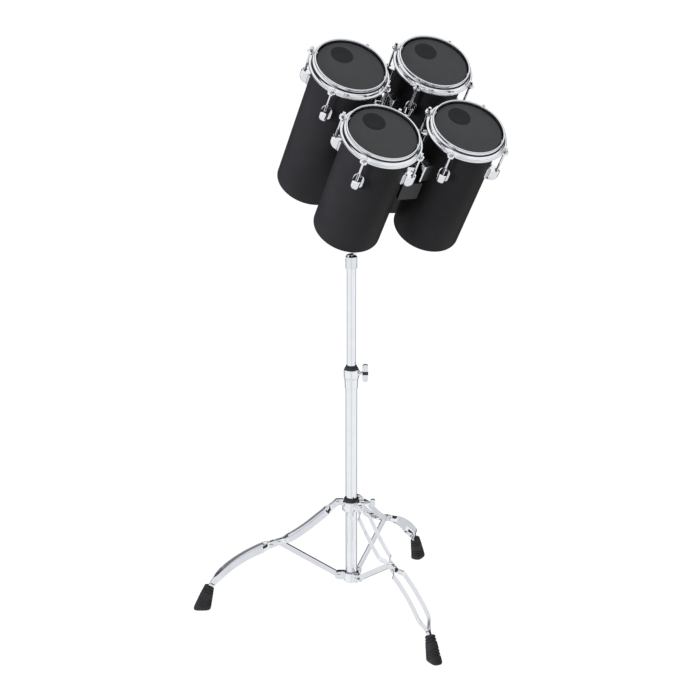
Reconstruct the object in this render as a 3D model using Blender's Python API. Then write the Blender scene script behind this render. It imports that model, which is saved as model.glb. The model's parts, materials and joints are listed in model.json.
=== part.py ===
"""Four six-inch octobans on a folding double-braced stand.

Blender 4.5, metres, +Z up. The floor is z = 0, and the origin lies on it under the middle of the
object's box. Each physical piece is one named object. Each moving piece hangs from an empty that
lies on its joint's axis.
"""

from math import acos, atan2, cos, degrees, pi, radians, sin, sqrt

import bmesh
import bpy
from mathutils import Matrix, Vector

# Clearances between neighbouring pieces
GAP = 0.0003
PIN_CLEARANCE = 0.0004

# Facets around round pieces
DRUM_SEGMENTS = 32
TUBE_SEGMENTS = 24
SMALL_SEGMENTS = 12
ROD_SEGMENTS = 8

# Drums: one shell size, four lengths, on a square grid
SHELL_DIAMETER = 0.146
SHELL_WALL = 0.005
SHELL_EDGE_BEVEL = 0.0015
BEARING_EDGE_DEPTH = 0.0035
GRID_PITCH = 0.196
DRUMS = {
    "front_left": {"column": -1, "row": -1, "length": 0.280},
    "front_right": {"column": 1, "row": -1, "length": 0.301},
    "back_right": {"column": 1, "row": 1, "length": 0.390},
    "back_left": {"column": -1, "row": 1, "length": 0.343},
}

# Drumhead: film over the bearing edge, and the flesh hoop that holds it
FILM_THICKNESS = 0.0007
FILM_COLLAR_WALL = 0.0006
FLESH_HOOP_WIDTH = 0.0050
FLESH_HOOP_TOP = -0.0045
FLESH_HOOP_HEIGHT = 0.0045

# Counter hoop: a wall that rises above the head, a skirt over the flesh hoop and a lower flange
HOOP_WALL = 0.0022
HOOP_RISE = 0.0072
HOOP_BEAD_RADIUS = 0.0021
HOOP_SKIRT_WALL = 0.0030
HOOP_FLANGE_RADIUS = 0.0878
HOOP_FLANGE_TOP = -0.0086
HOOP_FLANGE_THICKNESS = 0.0042
EAR_WIDTH = 0.0150
EAR_OVERHANG = 0.0078

# Tension rods and lugs, on the diagonals of the grid
LUG_ANGLES = (45.0, 135.0, 225.0, 315.0)
ROD_CIRCLE_RADIUS = 0.0895
ROD_RADIUS = 0.0027
ROD_WASHER_RADIUS = 0.0050
ROD_WASHER_THICKNESS = 0.0014
ROD_HEAD_RADIUS = 0.0040
ROD_HEAD_HEIGHT = 0.0085
LUG_TOP_DEPTH = 0.0625
LUG_HEIGHT = 0.0310
LUG_WIDTH = 0.0180
LUG_REACH = 0.0238
LUG_FLANGE_WIDTH = 0.0235
LUG_FLANGE_HEIGHT = 0.0360
LUG_FLANGE_THICKNESS = 0.0022
LUG_POCKET_WIDTH = 0.0100
LUG_POCKET_DEPTH = 0.0060

# Clamp block on each shell, which slides on a post of the frame
POST_OFFSET_ACROSS = 0.0810
POST_OFFSET_FORWARD = 0.0200
POST_RADIUS = 0.0050
POST_TOP_DEPTH = 0.0660
POST_DOME_HEIGHT = 0.0030
CLAMP_TOP_DEPTH = 0.0750
CLAMP_HEIGHT = 0.0440
CLAMP_WIDTH = 0.0200
CLAMP_WALL = 0.0040
CLAMP_EDGE_BEVEL = 0.0014
CLAMP_SLOT = 0.0012

# Black steel frame between the drums
BRIDGE_TOP_DEPTH = 0.1260
BRIDGE_BOTTOM_DEPTH = 0.1730
BRIDGE_WIDTH = 0.0460
BRIDGE_THICKNESS = 0.0040
BEAM_WIDTH = 0.0200
BEAM_HEIGHT = 0.0250
BEAM_TOP_DEPTH = 0.1370
FRAME_TUBE_WALL = 0.0020
SPINE_ROW = -0.0400
SPINE_DEPTH = 0.0250
ARM_WIDTH = 0.0400
ARM_THICKNESS = 0.0060
ARM_DROP = 0.0080

# Tilter: two toothed discs on a horizontal bolt
TILT = radians(35.8)
SWIVEL = radians(26.8)
FRAME_TURN = radians(-2.0)
PIVOT_HEIGHT = 0.8500
PIVOT_COLUMN = -0.0745
PIVOT_ROW = -0.1005
PIVOT_DROP = 0.0300
DISC_RADIUS = 0.0150
DISC_THICKNESS = 0.0080
TOOTH_COUNT = 18
TOOTH_HEIGHT = 0.0009
TOOTH_INNER_RADIUS = 0.0080
TILTER_NECK_WIDTH = 0.0150
PAD_RADIUS = 0.0195
PAD_THICKNESS = 0.0060
TILTER_BOLT_RADIUS = 0.0040
SLEEVE_BOTTOM = 0.7860
SLEEVE_TOP = 0.8170
SLEEVE_WALL = 0.0023

# Telescoping column
BASE_TUBE_DIAMETER = 0.0254
BASE_TUBE_WALL = 0.0016
BASE_TUBE_BOTTOM = 0.0640
BASE_TUBE_TOP = 0.5640
UPPER_TUBE_DIAMETER = 0.0200
UPPER_TUBE_WALL = 0.0012
UPPER_TUBE_BOTTOM = 0.3700
BUSH_FLANGE_HEIGHT = 0.0087
BUSH_FLANGE_RADIUS = 0.0148
BUSH_TOP_RADIUS = 0.0122
BUSH_SPIGOT_LENGTH = 0.0300
BUSH_CLEARANCE = 0.00025
HEIGHT_CLAMP_BOTTOM = 0.5210
HEIGHT_CLAMP_TAPER_TOP = 0.5440
HEIGHT_CLAMP_RADIUS = 0.0166
HEIGHT_CLAMP_WALL = 0.0014
HEIGHT_BOLT_HEIGHT = 0.5545
HEIGHT_BOLT_RADIUS = 0.0036
HEIGHT_BOSS_RADIUS = 0.0068
HEIGHT_BOSS_REACH = 0.0185

# Wing handles of the clamp bolts: reach along the bolt, half width across it, thickness
HEIGHT_WING = {"start": 0.0206, "end": 0.0368, "half": 0.0205, "thick": 0.0080}
COLLAR_WING = {"start": 0.0400, "end": 0.0532, "half": 0.0100, "thick": 0.0070}
TILTER_WING = {"start": 0.0120, "end": 0.0270, "half": 0.0190, "thick": 0.0070}
BOLT_AZIMUTH = radians(1.5)

# Leg collar, which slides on the base tube
COLLAR_BOTTOM = 0.2360
COLLAR_TOP = 0.2578
COLLAR_RADIUS = 0.0200
COLLAR_BUSH_WALL = 0.0021
COLLAR_BUSH_FLANGE = 0.0085
COLLAR_BUSH_FLANGE_RADIUS = 0.0166
COLLAR_BOLT_RADIUS = 0.0036
COLLAR_BOLT_HEIGHT = 0.2525
COLLAR_BOSS_RADIUS = 0.0075
COLLAR_BOSS_REACH = 0.0285
COLLAR_EAR_THICKNESS = 0.0070
COLLAR_EAR_RADIUS = 0.0072

# Bottom hub, at the foot of the base tube
HUB_BOTTOM = 0.0680
HUB_TOP = 0.0880
HUB_RADIUS = 0.0170
HUB_EAR_THICKNESS = 0.0028
HUB_EAR_RADIUS = 0.0090

# Tripod linkage in each leg's own plane: distance from the column's axis, height
LEG_NAMES = ("left_leg", "right_back_leg", "right_front_leg")
LEG_AZIMUTHS = (radians(181.5), radians(61.5), radians(-58.5))
COLLAR_PIN = (0.0312, 0.2553)
KNEE_PIN = (0.1624, 0.1612)
HUB_PIN = (0.0284, 0.0805)
NECK = (0.3180, 0.0520)
LEG_PIN_RADIUS = 0.0030
LEG_PIN_HEAD_RADIUS = 0.0045
LEG_PIN_HEAD = 0.0013

# Leg strips: flat steel on edge
COLLAR_SLOPE = radians(41.0)
KNEE_SLOPE = radians(17.0)
FOOT_SLOPE = radians(63.0)
STRIP_THICKNESS = 0.0024
STRIP_HEIGHT_UPPER = 0.0125
STRIP_HEIGHT_LOWER = 0.0145
STRIP_SPREAD = 0.0135
STRIP_TOGETHER = 0.0050
STRIP_FOOT_GAP = 0.0006
JOGGLE_LENGTH = 0.0110
COLLAR_STRAIGHT = 0.0190
KNEE_STRAIGHT_ABOVE = 0.0110
KNEE_STRAIGHT_BELOW = 0.0240
FOOT_TAPER = 0.0360
NECK_STRAIGHT = 0.0065
STRIP_STEPS = 6
SPACER_OFFSET = (0.0168, -0.0075)
SPACER_RADIUS = 0.0038
SPACER_PIN_RADIUS = 0.0022

# Braces: two thin strips side by side
BRACE_HEIGHT = 0.0115
BRACE_STRIP = 0.0012
BRACE_HALF_WIDTH = 0.0035

# Rubber boots
BOOT_TOP = (0.3192, 0.0560)
BOOT_BOTTOM = (0.3405, 0.0050)
BOOT_TOP_LENGTH = 0.0220
BOOT_BOTTOM_LENGTH = 0.0400
BOOT_TOP_WIDTH = 0.0190
BOOT_BOTTOM_WIDTH = 0.0270
BOOT_GROOVES = (0.18, 0.30, 0.66, 0.78)
BOOT_GROOVE_DEPTH = 0.0010
BOOT_SOLE = 0.0060
BOOT_POCKET = 0.0200

SHELL_RADIUS = SHELL_DIAMETER / 2
BASE_RADIUS = BASE_TUBE_DIAMETER / 2
UPPER_RADIUS = UPPER_TUBE_DIAMETER / 2


def clear_scene():
    for thing in list(bpy.data.objects):
        bpy.data.objects.remove(thing, do_unlink=True)


def material(name, colour, roughness, metallic):
    made = bpy.data.materials.new(name)
    made.use_nodes = True
    shader = made.node_tree.nodes["Principled BSDF"]
    shader.inputs["Base Color"].default_value = (*colour, 1.0)
    shader.inputs["Roughness"].default_value = roughness
    shader.inputs["Metallic"].default_value = metallic
    made.diffuse_color = (*colour, 1.0)
    return made


def empty(name, parent=None, matrix=None):
    made = bpy.data.objects.new(name, None)
    made.empty_display_size = 0.03
    bpy.context.scene.collection.objects.link(made)
    made.parent = parent
    if matrix is not None:
        made.matrix_local = matrix
    return made


def piece(name, bm, parent, finish, sharp=35.0):
    """Turns a bmesh into one named object with its faces pointing out."""
    bmesh.ops.recalc_face_normals(bm, faces=bm.faces)
    mesh = bpy.data.meshes.new(name)
    bm.to_mesh(mesh)
    bm.free()
    mesh.materials.append(finish)
    mesh.shade_smooth()
    mesh.set_sharp_from_angle(angle=radians(sharp))
    made = bpy.data.objects.new(name, mesh)
    bpy.context.scene.collection.objects.link(made)
    made.parent = parent
    return made


def loft(rings, closed=False):
    """Skins equal rings of points. A ring of one point closes that end, and an open end is capped."""
    bm = bmesh.new()
    rows = []
    for ring in rings:
        rows.append([bm.verts.new(point) for point in ring])
    pairs = list(zip(rows, rows[1:]))
    if closed:
        pairs.append((rows[-1], rows[0]))
    for low, high in pairs:
        count = max(len(low), len(high))
        if count == 1:
            continue
        for i in range(count):
            j = (i + 1) % count
            corners = []
            corners.append(low[i % len(low)])
            if len(low) > 1:
                corners.append(low[j])
            if len(high) > 1:
                corners.append(high[j])
            corners.append(high[i % len(high)])
            bm.faces.new(corners)
    if not closed:
        for end in (rows[0], rows[-1]):
            if len(end) > 2:
                bm.faces.new(end)
    bmesh.ops.recalc_face_normals(bm, faces=bm.faces)
    return bm


def lathe(outline, segments, closed=True):
    """Turns a list of (radius, height) about Z. A closed outline makes a ring, an open one a solid."""
    rings = []
    for radius, height in outline:
        if radius < 1e-7:
            rings.append([Vector((0.0, 0.0, height))])
            continue
        ring = []
        for i in range(segments):
            angle = 2 * pi * i / segments
            ring.append(Vector((radius * cos(angle), radius * sin(angle), height)))
        rings.append(ring)
    return loft(rings, closed)


def prism(outline, low, high):
    """Extrudes a flat (x, y) outline from z = low to z = high."""
    bottom = [Vector((x, y, low)) for x, y in outline]
    top = [Vector((x, y, high)) for x, y in outline]
    return loft([bottom, top])


def rod(start, end, radius, segments=SMALL_SEGMENTS):
    """A plain cylinder between two points."""
    start = Vector(start)
    end = Vector(end)
    along = end - start
    bm = lathe([(radius, 0.0), (radius, along.length)], segments, closed=False)
    turn = along.to_track_quat("Z", "Y").to_matrix().to_4x4()
    return moved(bm, Matrix.Translation(start) @ turn)


def block(low, high):
    outline = [(low[0], low[1]), (high[0], low[1]), (high[0], high[1]), (low[0], high[1])]
    return prism(outline, low[2], high[2])


def moved(bm, matrix):
    bmesh.ops.transform(bm, matrix=matrix, verts=bm.verts)
    return bm


def upright(bm):
    """Lays a prism's (x, y) outline into the XZ plane, with its thickness along Y."""
    return moved(bm, Matrix.Rotation(pi / 2, 4, "X"))


def combine(first, second, operation):
    """Boolean of two bmeshes, returned as a new bmesh."""
    things = []
    for bm in (first, second):
        bmesh.ops.recalc_face_normals(bm, faces=bm.faces)
        mesh = bpy.data.meshes.new("boolean_work")
        bm.to_mesh(mesh)
        bm.free()
        thing = bpy.data.objects.new("boolean_work", mesh)
        bpy.context.scene.collection.objects.link(thing)
        things.append(thing)
    target, tool = things
    step = target.modifiers.new("step", "BOOLEAN")
    step.object = tool
    step.operation = operation
    step.solver = "EXACT"
    graph = bpy.context.evaluated_depsgraph_get()
    result = bmesh.new()
    result.from_object(target, graph)
    for thing in things:
        mesh = thing.data
        bpy.data.objects.remove(thing, do_unlink=True)
        bpy.data.meshes.remove(mesh)
    bmesh.ops.remove_doubles(result, verts=result.verts, dist=1e-7)
    return result


def joined(first, *others):
    for other in others:
        first = combine(first, other, "UNION")
    return first


def cut(first, *others):
    for other in others:
        first = combine(first, other, "DIFFERENCE")
    return first


def stadium(start, end, radius, arc_steps=6):
    """Outline of a bar with round ends between two (x, y) centres."""
    heading = atan2(end[1] - start[1], end[0] - start[0])
    points = []
    for centre, first in ((end, heading - pi / 2), (start, heading + pi / 2)):
        for i in range(arc_steps + 1):
            angle = first + pi * i / arc_steps
            points.append((centre[0] + radius * cos(angle), centre[1] + radius * sin(angle)))
    return points


def bezier(start, start_slope, end, end_slope, share_start, share_end, steps):
    """Points and downward slopes of a cubic curve in a leg's plane."""
    chord = sqrt((end[0] - start[0]) ** 2 + (end[1] - start[1]) ** 2)
    p0 = Vector(start)
    p3 = Vector(end)
    p1 = p0 + Vector((cos(start_slope), -sin(start_slope))) * chord * share_start
    p2 = p3 - Vector((cos(end_slope), -sin(end_slope))) * chord * share_end
    points = []
    for i in range(steps + 1):
        t = i / steps
        spot = p0 * (1 - t) ** 3 + p1 * 3 * t * (1 - t) ** 2 + p2 * 3 * t * t * (1 - t) + p3 * t ** 3
        points.append(spot)
    return points


def interpolate(stations, value):
    for (a, fa), (b, fb) in zip(stations, stations[1:]):
        if value <= b:
            return fa + (fb - fa) * (value - a) / (b - a)
    return stations[-1][1]


def drum_shell(length):
    inner = SHELL_RADIUS - SHELL_WALL
    outline = [
        (SHELL_RADIUS, -length + SHELL_EDGE_BEVEL),
        (SHELL_RADIUS, -SHELL_EDGE_BEVEL),
        (SHELL_RADIUS - SHELL_EDGE_BEVEL, 0.0),
        (inner, -BEARING_EDGE_DEPTH),
        (inner, -length),
        (SHELL_RADIUS - SHELL_EDGE_BEVEL, -length),
    ]
    return lathe(outline, DRUM_SEGMENTS)


def drum_head():
    collar_inner = SHELL_RADIUS + GAP
    collar_outer = collar_inner + FILM_COLLAR_WALL
    top = GAP + FILM_THICKNESS
    hoop_bottom = FLESH_HOOP_TOP - FLESH_HOOP_HEIGHT
    outline = [
        (0.0, top),
        (SHELL_RADIUS - SHELL_EDGE_BEVEL, top),
        (collar_outer, -SHELL_EDGE_BEVEL),
        (collar_outer, FLESH_HOOP_TOP),
        (collar_inner + FLESH_HOOP_WIDTH, FLESH_HOOP_TOP),
        (collar_inner + FLESH_HOOP_WIDTH, hoop_bottom),
        (collar_inner, hoop_bottom),
        (collar_inner, -SHELL_EDGE_BEVEL),
        (SHELL_RADIUS - SHELL_EDGE_BEVEL, GAP),
        (0.0, GAP),
    ]
    return lathe(outline, DRUM_SEGMENTS, closed=False)


def counter_hoop():
    inner = SHELL_RADIUS + GAP + FILM_COLLAR_WALL + 2 * GAP
    wall = inner + HOOP_WALL
    skirt_inner = SHELL_RADIUS + GAP + FLESH_HOOP_WIDTH + GAP
    skirt = skirt_inner + HOOP_SKIRT_WALL
    seat = FLESH_HOOP_TOP + GAP
    shoulder = seat + HOOP_WALL
    flange_bottom = HOOP_FLANGE_TOP - HOOP_FLANGE_THICKNESS
    bead = HOOP_BEAD_RADIUS
    outline = [
        (inner, HOOP_RISE - bead * 0.7),
        (inner + bead * 0.6, HOOP_RISE),
        (wall + bead * 0.8, HOOP_RISE),
        (wall + bead * 1.4, HOOP_RISE - bead),
        (wall + bead * 0.5, HOOP_RISE - 2 * bead),
        (wall, HOOP_RISE - 2.6 * bead),
        (wall, shoulder + HOOP_WALL),
        (skirt - HOOP_WALL, shoulder),
        (skirt, shoulder - HOOP_WALL),
        (skirt + HOOP_WALL, HOOP_FLANGE_TOP),
        (HOOP_FLANGE_RADIUS - HOOP_WALL / 2, HOOP_FLANGE_TOP),
        (HOOP_FLANGE_RADIUS, HOOP_FLANGE_TOP - HOOP_FLANGE_THICKNESS / 2),
        (HOOP_FLANGE_RADIUS - HOOP_WALL / 2, flange_bottom),
        (skirt_inner, flange_bottom),
        (skirt_inner, seat),
        (inner, seat),
    ]
    bm = lathe(outline, DRUM_SEGMENTS)
    ear_low = flange_bottom + GAP
    ear_high = HOOP_FLANGE_TOP + 2 * GAP
    for degree in LUG_ANGLES:
        turn = Matrix.Rotation(radians(degree), 4, "Z")
        tip = ROD_CIRCLE_RADIUS + EAR_OVERHANG
        root = (skirt + HOOP_WALL, 0.0)
        outline = stadium(root, (tip - EAR_WIDTH / 2, 0.0), EAR_WIDTH / 2, 5)
        outline = [(max(x, skirt), y) for x, y in outline]
        ear = prism(outline, ear_low, ear_high)
        bm = joined(bm, moved(ear, turn))
    for degree in LUG_ANGLES:
        turn = Matrix.Rotation(radians(degree), 4, "Z")
        spot = turn @ Vector((ROD_CIRCLE_RADIUS, 0.0, 0.0))
        low = (spot.x, spot.y, flange_bottom - 2 * HOOP_WALL)
        high = (spot.x, spot.y, HOOP_FLANGE_TOP + 2 * HOOP_WALL)
        bm = cut(bm, rod(low, high, ROD_RADIUS + PIN_CLEARANCE))
    return bm


def tension_lug():
    """Pod, base flange and the rod that screws into it, at angle 0 of a drum."""
    seat = SHELL_RADIUS + GAP

    def curved(y):
        return sqrt(seat * seat - y * y)

    levels = [
        (0.00, 0.94, 0.92),
        (0.12, 1.00, 1.00),
        (0.50, 1.00, 0.96),
        (0.85, 0.80, 0.58),
        (1.00, 0.36, 0.22),
    ]
    rings = []
    root = LUG_FLANGE_THICKNESS / 2
    for share, wide, deep in levels:
        z = -LUG_TOP_DEPTH - share * LUG_HEIGHT
        half = LUG_WIDTH / 2 * wide
        out = SHELL_RADIUS + LUG_REACH * deep
        corner = min(half, out - seat) * 0.45
        rings.append([
            Vector((curved(half) + root, -half, z)),
            Vector((out - corner, -half, z)),
            Vector((out, -half + corner, z)),
            Vector((out, half - corner, z)),
            Vector((out - corner, half, z)),
            Vector((curved(half) + root, half, z)),
        ])
    pod = loft(rings)
    flange_half = LUG_FLANGE_WIDTH / 2
    flange_top = -LUG_TOP_DEPTH + 2 * LUG_FLANGE_THICKNESS
    flange_bottom = flange_top - LUG_FLANGE_HEIGHT
    rings = []
    for share in (-1.0, -0.8, -0.4, 0.4, 0.8, 1.0):
        y = flange_half * share
        x = curved(y)
        arch = flange_top - flange_half + sqrt(flange_half ** 2 - y * y)
        foot = flange_bottom + max(abs(share) - 0.5, 0.0) * flange_half
        rings.append([
            Vector((x, y, foot)),
            Vector((x + LUG_FLANGE_THICKNESS, y, foot)),
            Vector((x + LUG_FLANGE_THICKNESS, y, arch)),
            Vector((x, y, arch)),
        ])
    bm = joined(pod, loft(rings))
    pocket = LUG_POCKET_WIDTH / 2
    low = (ROD_CIRCLE_RADIUS - pocket, -pocket, -LUG_TOP_DEPTH - LUG_POCKET_DEPTH)
    high = (ROD_CIRCLE_RADIUS + pocket * 0.7, pocket, -LUG_TOP_DEPTH + LUG_POCKET_DEPTH)
    bm = cut(bm, block(low, high))
    washer = HOOP_FLANGE_TOP + 3 * GAP
    head = washer + ROD_WASHER_THICKNESS
    outline = [
        (0.0, -LUG_TOP_DEPTH - LUG_POCKET_DEPTH - SHELL_WALL),
        (ROD_RADIUS, -LUG_TOP_DEPTH - LUG_POCKET_DEPTH - SHELL_WALL),
        (ROD_RADIUS, washer),
        (ROD_WASHER_RADIUS, washer),
        (ROD_WASHER_RADIUS, head),
        (ROD_HEAD_RADIUS, head),
        (ROD_HEAD_RADIUS, head + ROD_HEAD_HEIGHT),
        (0.0, head + ROD_HEAD_HEIGHT),
    ]
    screw = lathe(outline, ROD_SEGMENTS, closed=False)
    return joined(bm, moved(screw, Matrix.Translation((ROD_CIRCLE_RADIUS, 0.0, 0.0))))


def clamp_block():
    """Chrome block at angle 0 of a drum, bored for its post and slotted outwards."""
    seat = SHELL_RADIUS + GAP
    reach = sqrt(POST_OFFSET_ACROSS ** 2 + POST_OFFSET_FORWARD ** 2)
    outer = reach + POST_RADIUS + CLAMP_WALL
    half = CLAMP_WIDTH / 2
    outline = [(outer, -half), (outer, half)]
    for share in (1.0, 0.5, 0.0, -0.5, -1.0):
        y = half * share
        outline.append((sqrt(seat * seat - y * y), y))
    low = -CLAMP_TOP_DEPTH - CLAMP_HEIGHT
    high = -CLAMP_TOP_DEPTH
    bm = prism(outline, low, high)
    edges = []
    for edge in bm.edges:
        middle = (edge.verts[0].co + edge.verts[1].co) / 2
        if middle.x > outer - CLAMP_WALL:
            edges.append(edge)
    bmesh.ops.bevel(bm, geom=edges, offset=CLAMP_EDGE_BEVEL, segments=1, affect="EDGES")
    bore = rod((reach, 0.0, low - GAP), (reach, 0.0, high + GAP), POST_RADIUS + PIN_CLEARANCE)
    slot_low = (reach, -CLAMP_SLOT / 2, low - GAP)
    slot = block(slot_low, (outer + GAP, CLAMP_SLOT / 2, high + GAP))
    return cut(bm, bore, slot)


def bridge(row):
    """Plate across a pair of drums with the two posts that carry them."""
    centre = row * GRID_PITCH / 2 - POST_OFFSET_FORWARD
    plate_back = centre - POST_RADIUS + GAP
    half = BRIDGE_WIDTH / 2
    low = (-half, plate_back - BRIDGE_THICKNESS, -BRIDGE_BOTTOM_DEPTH)
    bm = block(low, (half, plate_back, -BRIDGE_TOP_DEPTH))
    for side in (-1, 1):
        x = side * (GRID_PITCH / 2 - POST_OFFSET_ACROSS)
        outline = [
            (0.0, -BRIDGE_BOTTOM_DEPTH + GAP),
            (POST_RADIUS, -BRIDGE_BOTTOM_DEPTH + GAP),
            (POST_RADIUS, -POST_TOP_DEPTH - POST_DOME_HEIGHT),
            (POST_RADIUS * 0.6, -POST_TOP_DEPTH - POST_DOME_HEIGHT * 0.25),
            (0.0, -POST_TOP_DEPTH),
        ]
        post = lathe(outline, SMALL_SEGMENTS, closed=False)
        bm = joined(bm, moved(post, Matrix.Translation((x, centre, 0.0))))
    return bm


def square_tube(width, depth, low, high):
    """Rectangular steel tube along Z, open at both ends."""
    outer = block((-width / 2, -depth / 2, low), (width / 2, depth / 2, high))
    x = width / 2 - FRAME_TUBE_WALL
    y = depth / 2 - FRAME_TUBE_WALL
    return cut(outer, block((-x, -y, low - GAP), (x, y, high + GAP)))


def frame_stem(arm_top):
    """Welded arm, spine and beam that join the tilter to the two bridges."""
    arm = prism(
        stadium((PIVOT_COLUMN, PIVOT_ROW), (0.0, SPINE_ROW), ARM_WIDTH / 2),
        arm_top - ARM_THICKNESS,
        arm_top,
    )
    front = -GRID_PITCH / 2 - POST_OFFSET_FORWARD - POST_RADIUS + 2 * GAP
    back = GRID_PITCH / 2 - POST_OFFSET_FORWARD - POST_RADIUS - BRIDGE_THICKNESS
    beam_centre = -BEAM_TOP_DEPTH - BEAM_HEIGHT / 2
    beam = square_tube(BEAM_WIDTH, BEAM_HEIGHT, front, back)
    lie = Matrix.Translation((0.0, 0.0, beam_centre)) @ Matrix.Rotation(-pi / 2, 4, "X")
    beam = moved(beam, lie)
    spine_top = -BEAM_TOP_DEPTH - BEAM_HEIGHT + FRAME_TUBE_WALL / 2
    spine = square_tube(BEAM_WIDTH, SPINE_DEPTH, arm_top - ARM_THICKNESS / 2, spine_top)
    spine = moved(spine, Matrix.Translation((0.0, SPINE_ROW, 0.0)))
    drain = block(
        (-BEAM_WIDTH / 4, SPINE_ROW - SPINE_DEPTH, arm_top),
        (BEAM_WIDTH / 4, SPINE_ROW, arm_top + BEAM_WIDTH / 2),
    )
    return cut(joined(arm, spine, beam), drain)


def toothed_disc(side):
    """Disc on the tilter's X axis. Its teeth face the other disc, and side is the side it lies on."""
    points = 2 * TOOTH_COUNT
    tip = GAP / 2
    root = tip + TOOTH_HEIGHT
    back = root + DISC_THICKNESS

    def ring(radius, heights):
        out = []
        for i in range(points):
            angle = 2 * pi * (i + 0.5) / points
            x = heights[i % 2]
            out.append(Vector((side * x, radius * cos(angle), radius * sin(angle))))
        return out

    bore = TILTER_BOLT_RADIUS + PIN_CLEARANCE
    # The two discs' teeth lie in line, so that tips face roots
    order = (tip, root) if side > 0 else (root, tip)
    rings = [
        ring(bore, (root, root)),
        ring(TOOTH_INNER_RADIUS, (root, root)),
        ring(DISC_RADIUS, order),
        ring(DISC_RADIUS, (back, back)),
        ring(bore, (back, back)),
    ]
    return loft(rings, closed=True)


def tilter_base():
    """Sleeve on the upper tube, with a neck and the fixed toothed disc. Origin at the pivot."""
    bore = UPPER_RADIUS + GAP
    outer = bore + SLEEVE_WALL
    bottom = SLEEVE_BOTTOM - PIVOT_HEIGHT
    top = SLEEVE_TOP - PIVOT_HEIGHT
    roof = top + SLEEVE_WALL * 2
    outline = [
        (outer, bottom),
        (outer, top),
        (outer * 0.72, roof),
        (0.0, roof),
        (0.0, top),
        (bore, top),
        (bore, bottom),
    ]
    sleeve = lathe(outline, TUBE_SEGMENTS)
    near = GAP / 2 + TOOTH_HEIGHT
    far = near + DISC_THICKNESS
    half = TILTER_NECK_WIDTH / 2
    drop = -sqrt(DISC_RADIUS ** 2 - half ** 2) + GAP
    neck = block((near + GAP, -half, top + GAP), (far - GAP, half, drop))
    disc = toothed_disc(1)
    return joined(joined(sleeve, neck), disc)


def tilter_head():
    """Moving toothed disc with a neck up to the round pad under the frame's arm."""
    near = GAP / 2 + TOOTH_HEIGHT
    far = near + DISC_THICKNESS
    half = TILTER_NECK_WIDTH / 2
    rise = sqrt(DISC_RADIUS ** 2 - half ** 2) - GAP
    pad_top = PIVOT_DROP - GAP
    neck = block((-far + GAP, -half, rise), (-near - GAP, half, pad_top - PAD_THICKNESS / 2))
    outline = [(0.0, pad_top - PAD_THICKNESS), (PAD_RADIUS, pad_top - PAD_THICKNESS)]
    outline.append((PAD_RADIUS, pad_top))
    outline.append((0.0, pad_top))
    pad = lathe(outline, TUBE_SEGMENTS, closed=False)
    return joined(joined(pad, neck), toothed_disc(-1))


def wing_bolt(shank_start, radius, wing):
    """Bolt along X with a two-lobed wing. The shank starts nearest the column."""
    start, end, half = wing["start"], wing["end"], wing["half"]
    depth = end - start
    side = [
        (start, half * 0.28),
        (start + depth * 0.35, half * 0.40),
        (start + depth * 0.55, half * 0.88),
        (start + depth * 0.78, half),
        (end, half * 0.82),
        (start + depth * 0.92, half * 0.30),
    ]
    outline = side + [(x, -y) for x, y in reversed(side)]
    handle = upright(prism(outline, -wing["thick"] / 2, wing["thick"] / 2))
    shank = rod((shank_start, 0.0, 0.0), (start + depth * 0.3, 0.0, 0.0), radius)
    return joined(handle, shank)


def sideways(radius, start, end, height):
    """Cutter or boss along X at a height, from start to end."""
    return rod((start, 0.0, height), (end, 0.0, height), radius)


def base_tube():
    inner = BASE_RADIUS - BASE_TUBE_WALL
    bm = lathe([
        (BASE_RADIUS, BASE_TUBE_BOTTOM),
        (BASE_RADIUS, BASE_TUBE_TOP),
        (inner, BASE_TUBE_TOP),
        (inner, BASE_TUBE_BOTTOM),
    ], TUBE_SEGMENTS)
    hole = sideways(HEIGHT_BOLT_RADIUS + PIN_CLEARANCE, inner / 2, 2 * BASE_RADIUS, HEIGHT_BOLT_HEIGHT)
    return cut(bm, moved(hole, Matrix.Rotation(BOLT_AZIMUTH, 4, "Z")))


def upper_tube(top):
    inner = UPPER_RADIUS - UPPER_TUBE_WALL
    return lathe([
        (UPPER_RADIUS, UPPER_TUBE_BOTTOM),
        (UPPER_RADIUS, top),
        (inner, top),
        (inner, UPPER_TUBE_BOTTOM),
    ], TUBE_SEGMENTS)


def height_bush():
    bore = UPPER_RADIUS + BUSH_CLEARANCE
    spigot = BASE_RADIUS - BASE_TUBE_WALL - BUSH_CLEARANCE
    seat = BASE_TUBE_TOP + GAP
    top = seat + BUSH_FLANGE_HEIGHT
    bm = lathe([
        (spigot, BASE_TUBE_TOP - BUSH_SPIGOT_LENGTH),
        (spigot, seat),
        (BUSH_FLANGE_RADIUS, seat),
        (BUSH_FLANGE_RADIUS, seat + BUSH_FLANGE_HEIGHT * 0.3),
        (BUSH_TOP_RADIUS, top),
        (bore, top),
        (bore, BASE_TUBE_TOP - BUSH_SPIGOT_LENGTH),
    ], TUBE_SEGMENTS)
    hole = sideways(HEIGHT_BOLT_RADIUS + PIN_CLEARANCE, bore / 2, 2 * BASE_RADIUS, HEIGHT_BOLT_HEIGHT)
    return cut(bm, moved(hole, Matrix.Rotation(BOLT_AZIMUTH, 4, "Z")))


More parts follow.
